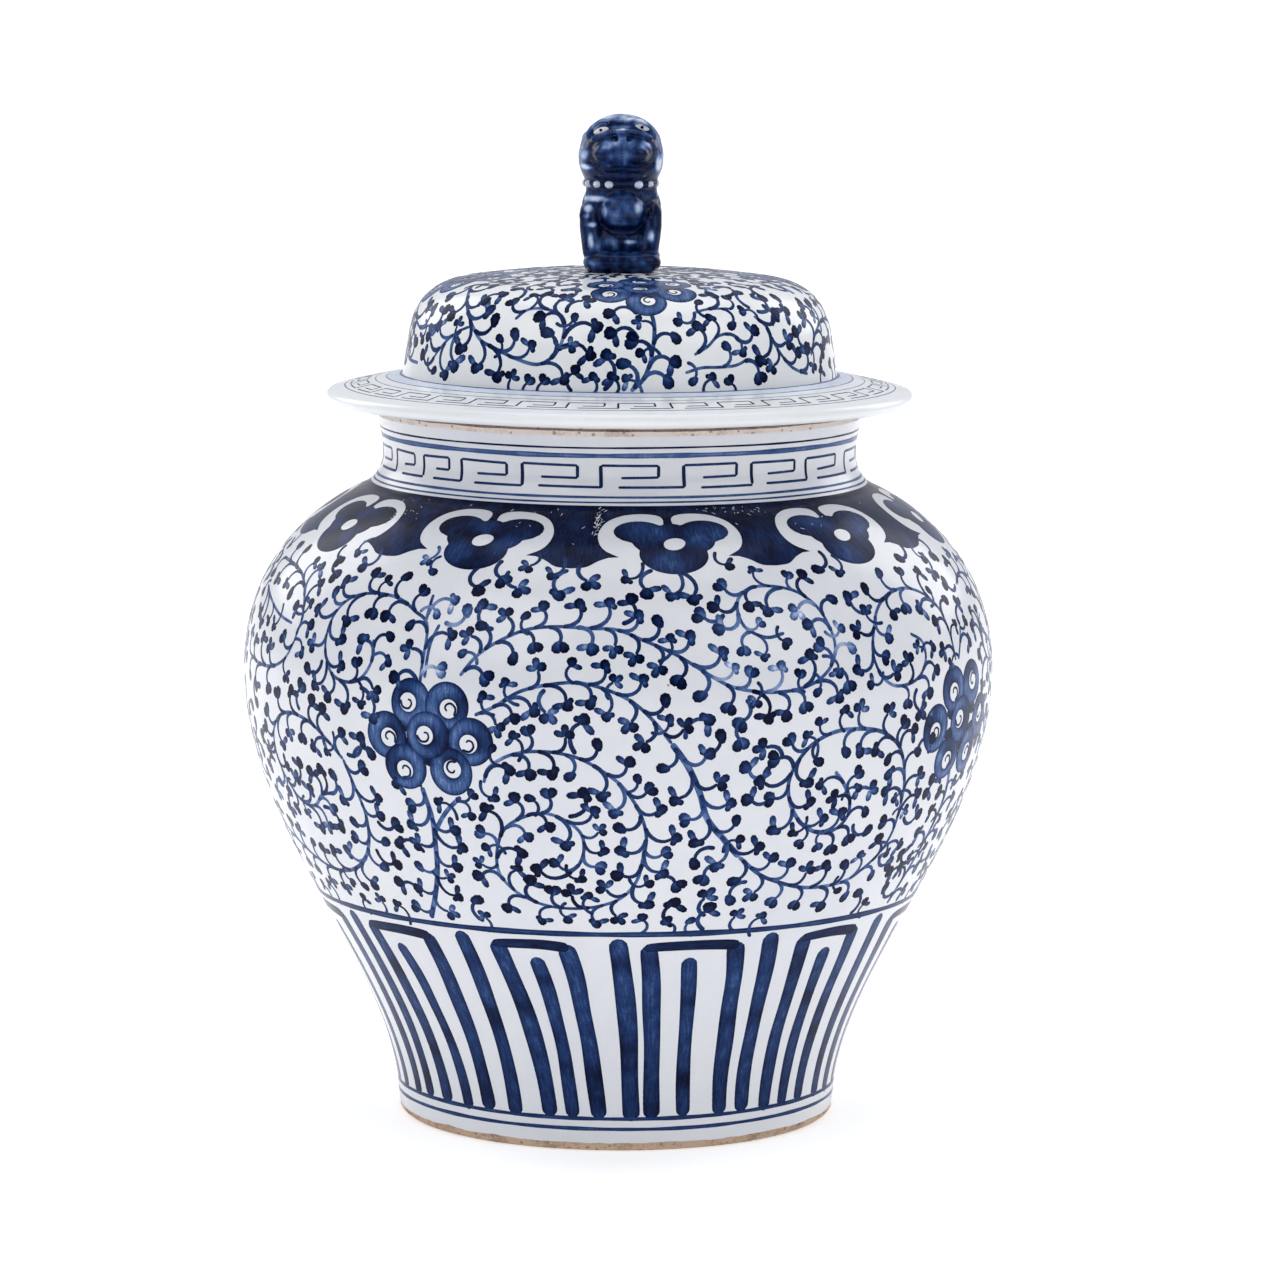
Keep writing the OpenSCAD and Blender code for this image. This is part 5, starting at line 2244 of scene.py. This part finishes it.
    def add_beads(self) -> None:
        """Adds the pale beads of the collar."""
        clay = Clay()
        turns = [-66, -43, -20, 31, 56, *[81 + 24 * k for k in range(9)]]
        for k, degrees in enumerate(turns):
            turn = math.radians(degrees)
            size = self.bead_r * (0.94 + 0.06 * math.cos(2.4 * k))
            clay.lump((0.95 * self.collar_r * math.sin(turn),
                       -1.06 * self.collar_r * math.cos(turn), self.collar_h),
                      (size, size, 0.9 * size), 3)
        self.lumps_piece("lion_collar_beads", clay, 0.03, Slot.COBALT, self.shop.cobalt)


LION_CUTS: list[tuple[list[Point], float, float]] = [
    ([(-13.5, 46.8), (-6, 44.8), (0.4, 45.2), (7, 44.6), (14, 46.6)], 1.0, 1.3),
    ([(-2.6, 58.2), (-2.2, 58.2)], 0.95, 1.3),
    ([(3.4, 58.2), (3.8, 58.2)], 0.95, 1.3),
    ([(0.4, 56.0), (0.4, 47.5)], 0.7, 0.6),
    ([(-8.4, 20.6), (-4, 17.8), (1, 16.8), (6, 17.8), (9.6, 20.8)], 1.2, 0.9),
    ([(0.4, 15.5), (0.4, 9.5)], 1.6, 2.0),
]

LION_MARKS: list[tuple[float, float, float, float, float]] = [
    (0.0, 62.9, 5.0, 1.0, -0.34), (-5.5, 55.6, 3.8, 2.0, -0.3), (10.3, 55.6, 3.0, 1.7, -0.28),
    (1.8, 50.5, 1.8, 4.5, -0.18), (-2.5, 58.3, 1.2, 1.1, 0.3), (3.6, 58.3, 1.2, 1.1, 0.3),
    (12.8, 57.4, 2.2, 1.2, 0.28), (-15.4, 50.7, 2.0, 2.4, -0.42), (-12.0, 56.3, 3.0, 1.5, 0.22),
    (-10.5, 49.5, 4.6, 2.8, 0.24), (9.5, 49.6, 5.4, 3.6, 0.26), (-7.5, 46.4, 4.2, 1.4, -0.16),
    (-14.9, 45.6, 2.8, 1.3, -0.42), (16.2, 47.0, 1.3, 4.0, -0.36), (1.5, 43.2, 13.5, 2.4, 0.36),
    (0.0, 38.2, 16.0, 2.6, 0.32), (-10.8, 31.7, 5.8, 1.5, -0.62), (-14.0, 27.6, 2.4, 1.9, -0.55),
    (-14.8, 24.4, 1.7, 1.2, -0.4), (-12.4, 20.8, 2.2, 1.3, -0.45), (-7.4, 26.6, 1.7, 3.2, -0.42),
    (7.8, 28.4, 2.1, 3.2, -0.44), (1.8, 26.0, 5.2, 4.8, -0.12), (1.0, 20.9, 6.0, 1.2, -0.12),
    (15.5, 25.5, 3.6, 5.5, 0.34), (0.0, 18.0, 11.5, 2.7, 0.42), (-13.0, 13.6, 1.5, 3.8, -0.48),
    (13.0, 16.0, 1.6, 3.2, -0.46), (4.0, 13.4, 2.8, 1.0, -0.4), (-4.8, 12.2, 6.0, 3.2, -0.14),
    (8.3, 10.8, 5.2, 1.3, 0.32), (-11.4, 4.6, 3.0, 1.4, -0.28), (0.4, 5.0, 1.3, 3.6, 0.28),
    (15.6, 3.5, 2.2, 3.4, 0.28), (7.5, 5.4, 4.2, 2.0, -0.12),
]


# ---- The room ----


@dataclass
class Studio:
    """A pale floor, soft lights and the camera."""

    distance: float = 2.5505
    height: float = 0.545
    aside: float = 0.0095
    pitch: float = 7.511
    roll: float = 0.35
    lens: float = 164.3

    def build(self) -> None:
        """Makes the floor, the lights and the camera."""
        self.make_camera()
        self.make_floor()
        self.make_world()
        for name, place, size, power in (
                ("key_left", (-1.7, -1.9, 2.1), (2.2, 2.2), 24),
                ("key_right", (1.9, -1.7, 1.9), (2.0, 2.0), 18),
                ("top", (0.0, 0.3, 2.8), (2.4, 2.4), 26),
                ("back_left", (-1.9, 1.7, 1.5), (1.4, 1.8), 14),
                ("back_right", (1.9, 1.7, 1.5), (1.4, 1.8), 14)):
            self.lamp(name, place, size, power)

    def make_camera(self) -> None:
        """Sets up the camera."""
        data = bpy.data.cameras.new("camera")
        data.lens = self.lens
        data.sensor_width = 36.0
        data.clip_end = 200
        camera = bpy.data.objects.new("camera", data)
        tilt = Matrix.Rotation(math.radians(90 - self.pitch), 4, "X")
        roll = Matrix.Rotation(math.radians(self.roll), 4, "Z")
        camera.matrix_world = Matrix.Translation(
            (self.aside, -self.distance, self.height)) @ tilt @ roll
        bpy.context.scene.collection.objects.link(camera)
        bpy.context.scene.camera = camera

    def make_floor(self) -> None:
        """Makes the pale floor."""
        data = bpy.data.meshes.new("floor")
        reach = 60
        corners = ((-1, -1), (1, -1), (1, 1), (-1, 1))
        data.from_pydata([(reach * x, reach * y, 0) for x, y in corners], [], [(0, 1, 2, 3)])
        floor = bpy.data.objects.new("floor", data)
        paint = Paint("pale_floor")
        paint.set(Roughness=0.9, IOR=1.3)
        out = paint.add("ShaderNodeVectorMath", {0: paint.place}, operation="LENGTH")["Value"]
        glow = paint.add("ShaderNodeMapRange", {
            "Value": out, "From Min": 0.2, "From Max": 6.0, "To Min": 0.42, "To Max": 0.8})[0]
        for label, value in (("Emission Strength", glow), ("Base Color", (0.9, 0.9, 0.905, 1)),
                             ("Emission Color", (1, 1, 1, 1))):
            paint.feed(paint.shader[label], value)
        data.materials.append(paint.material)
        bpy.context.scene.collection.objects.link(floor)

    def make_world(self) -> None:
        """Makes the soft surroundings, brightest behind."""
        world = bpy.data.worlds.new("soft_room")
        world.use_nodes = True
        bpy.context.scene.world = world
        sky = Nodes(world.node_tree)
        way = sky.add("ShaderNodeTexCoord")["Generated"]
        back = sky.add("ShaderNodeSeparateXYZ", {0: way})["Y"]
        strength = sky.add("ShaderNodeMapRange", {
            "Value": back, "From Min": -0.8, "From Max": 0.6, "To Min": 0.16, "To Max": 0.72})[0]
        shade = world.node_tree.nodes["Background"].inputs
        sky.feed(shade["Strength"], strength)
        sky.feed(shade["Color"], (0.93, 0.94, 1.0, 1))
        bpy.context.scene.view_settings.view_transform = "Standard"

    def lamp(self, name: str, place: Place, size: Point, power: float) -> None:
        """Hangs a soft lamp that looks at the jar.

        Args:
            name: Name of the lamp.
            place: Where it hangs, in metres.
            size: Its width and height.
            power: Its power in watts.
        """
        data = bpy.data.lights.new(name, "AREA")
        data.shape = "RECTANGLE"
        data.size, data.size_y = size
        data.energy = power
        lamp = bpy.data.objects.new(name, data)
        lamp.location = place
        lamp.rotation_euler = (Vector((0, 0, 0.22)) - Vector(place)).to_track_quat(
            "-Z", "Y").to_euler()
        bpy.context.scene.collection.objects.link(lamp)


def main() -> None:
    """Builds the jar, its lid and the room in order."""
    logging.basicConfig(level=logging.INFO, format="%(message)s")
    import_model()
    Studio().build()
    shop = Workshop()
    Jar(shop).build()
    Lid(shop).build()
    Lion(shop).build()
    LOG.info("%d pieces", shop.count)


if __name__ == "__main__":
    main()
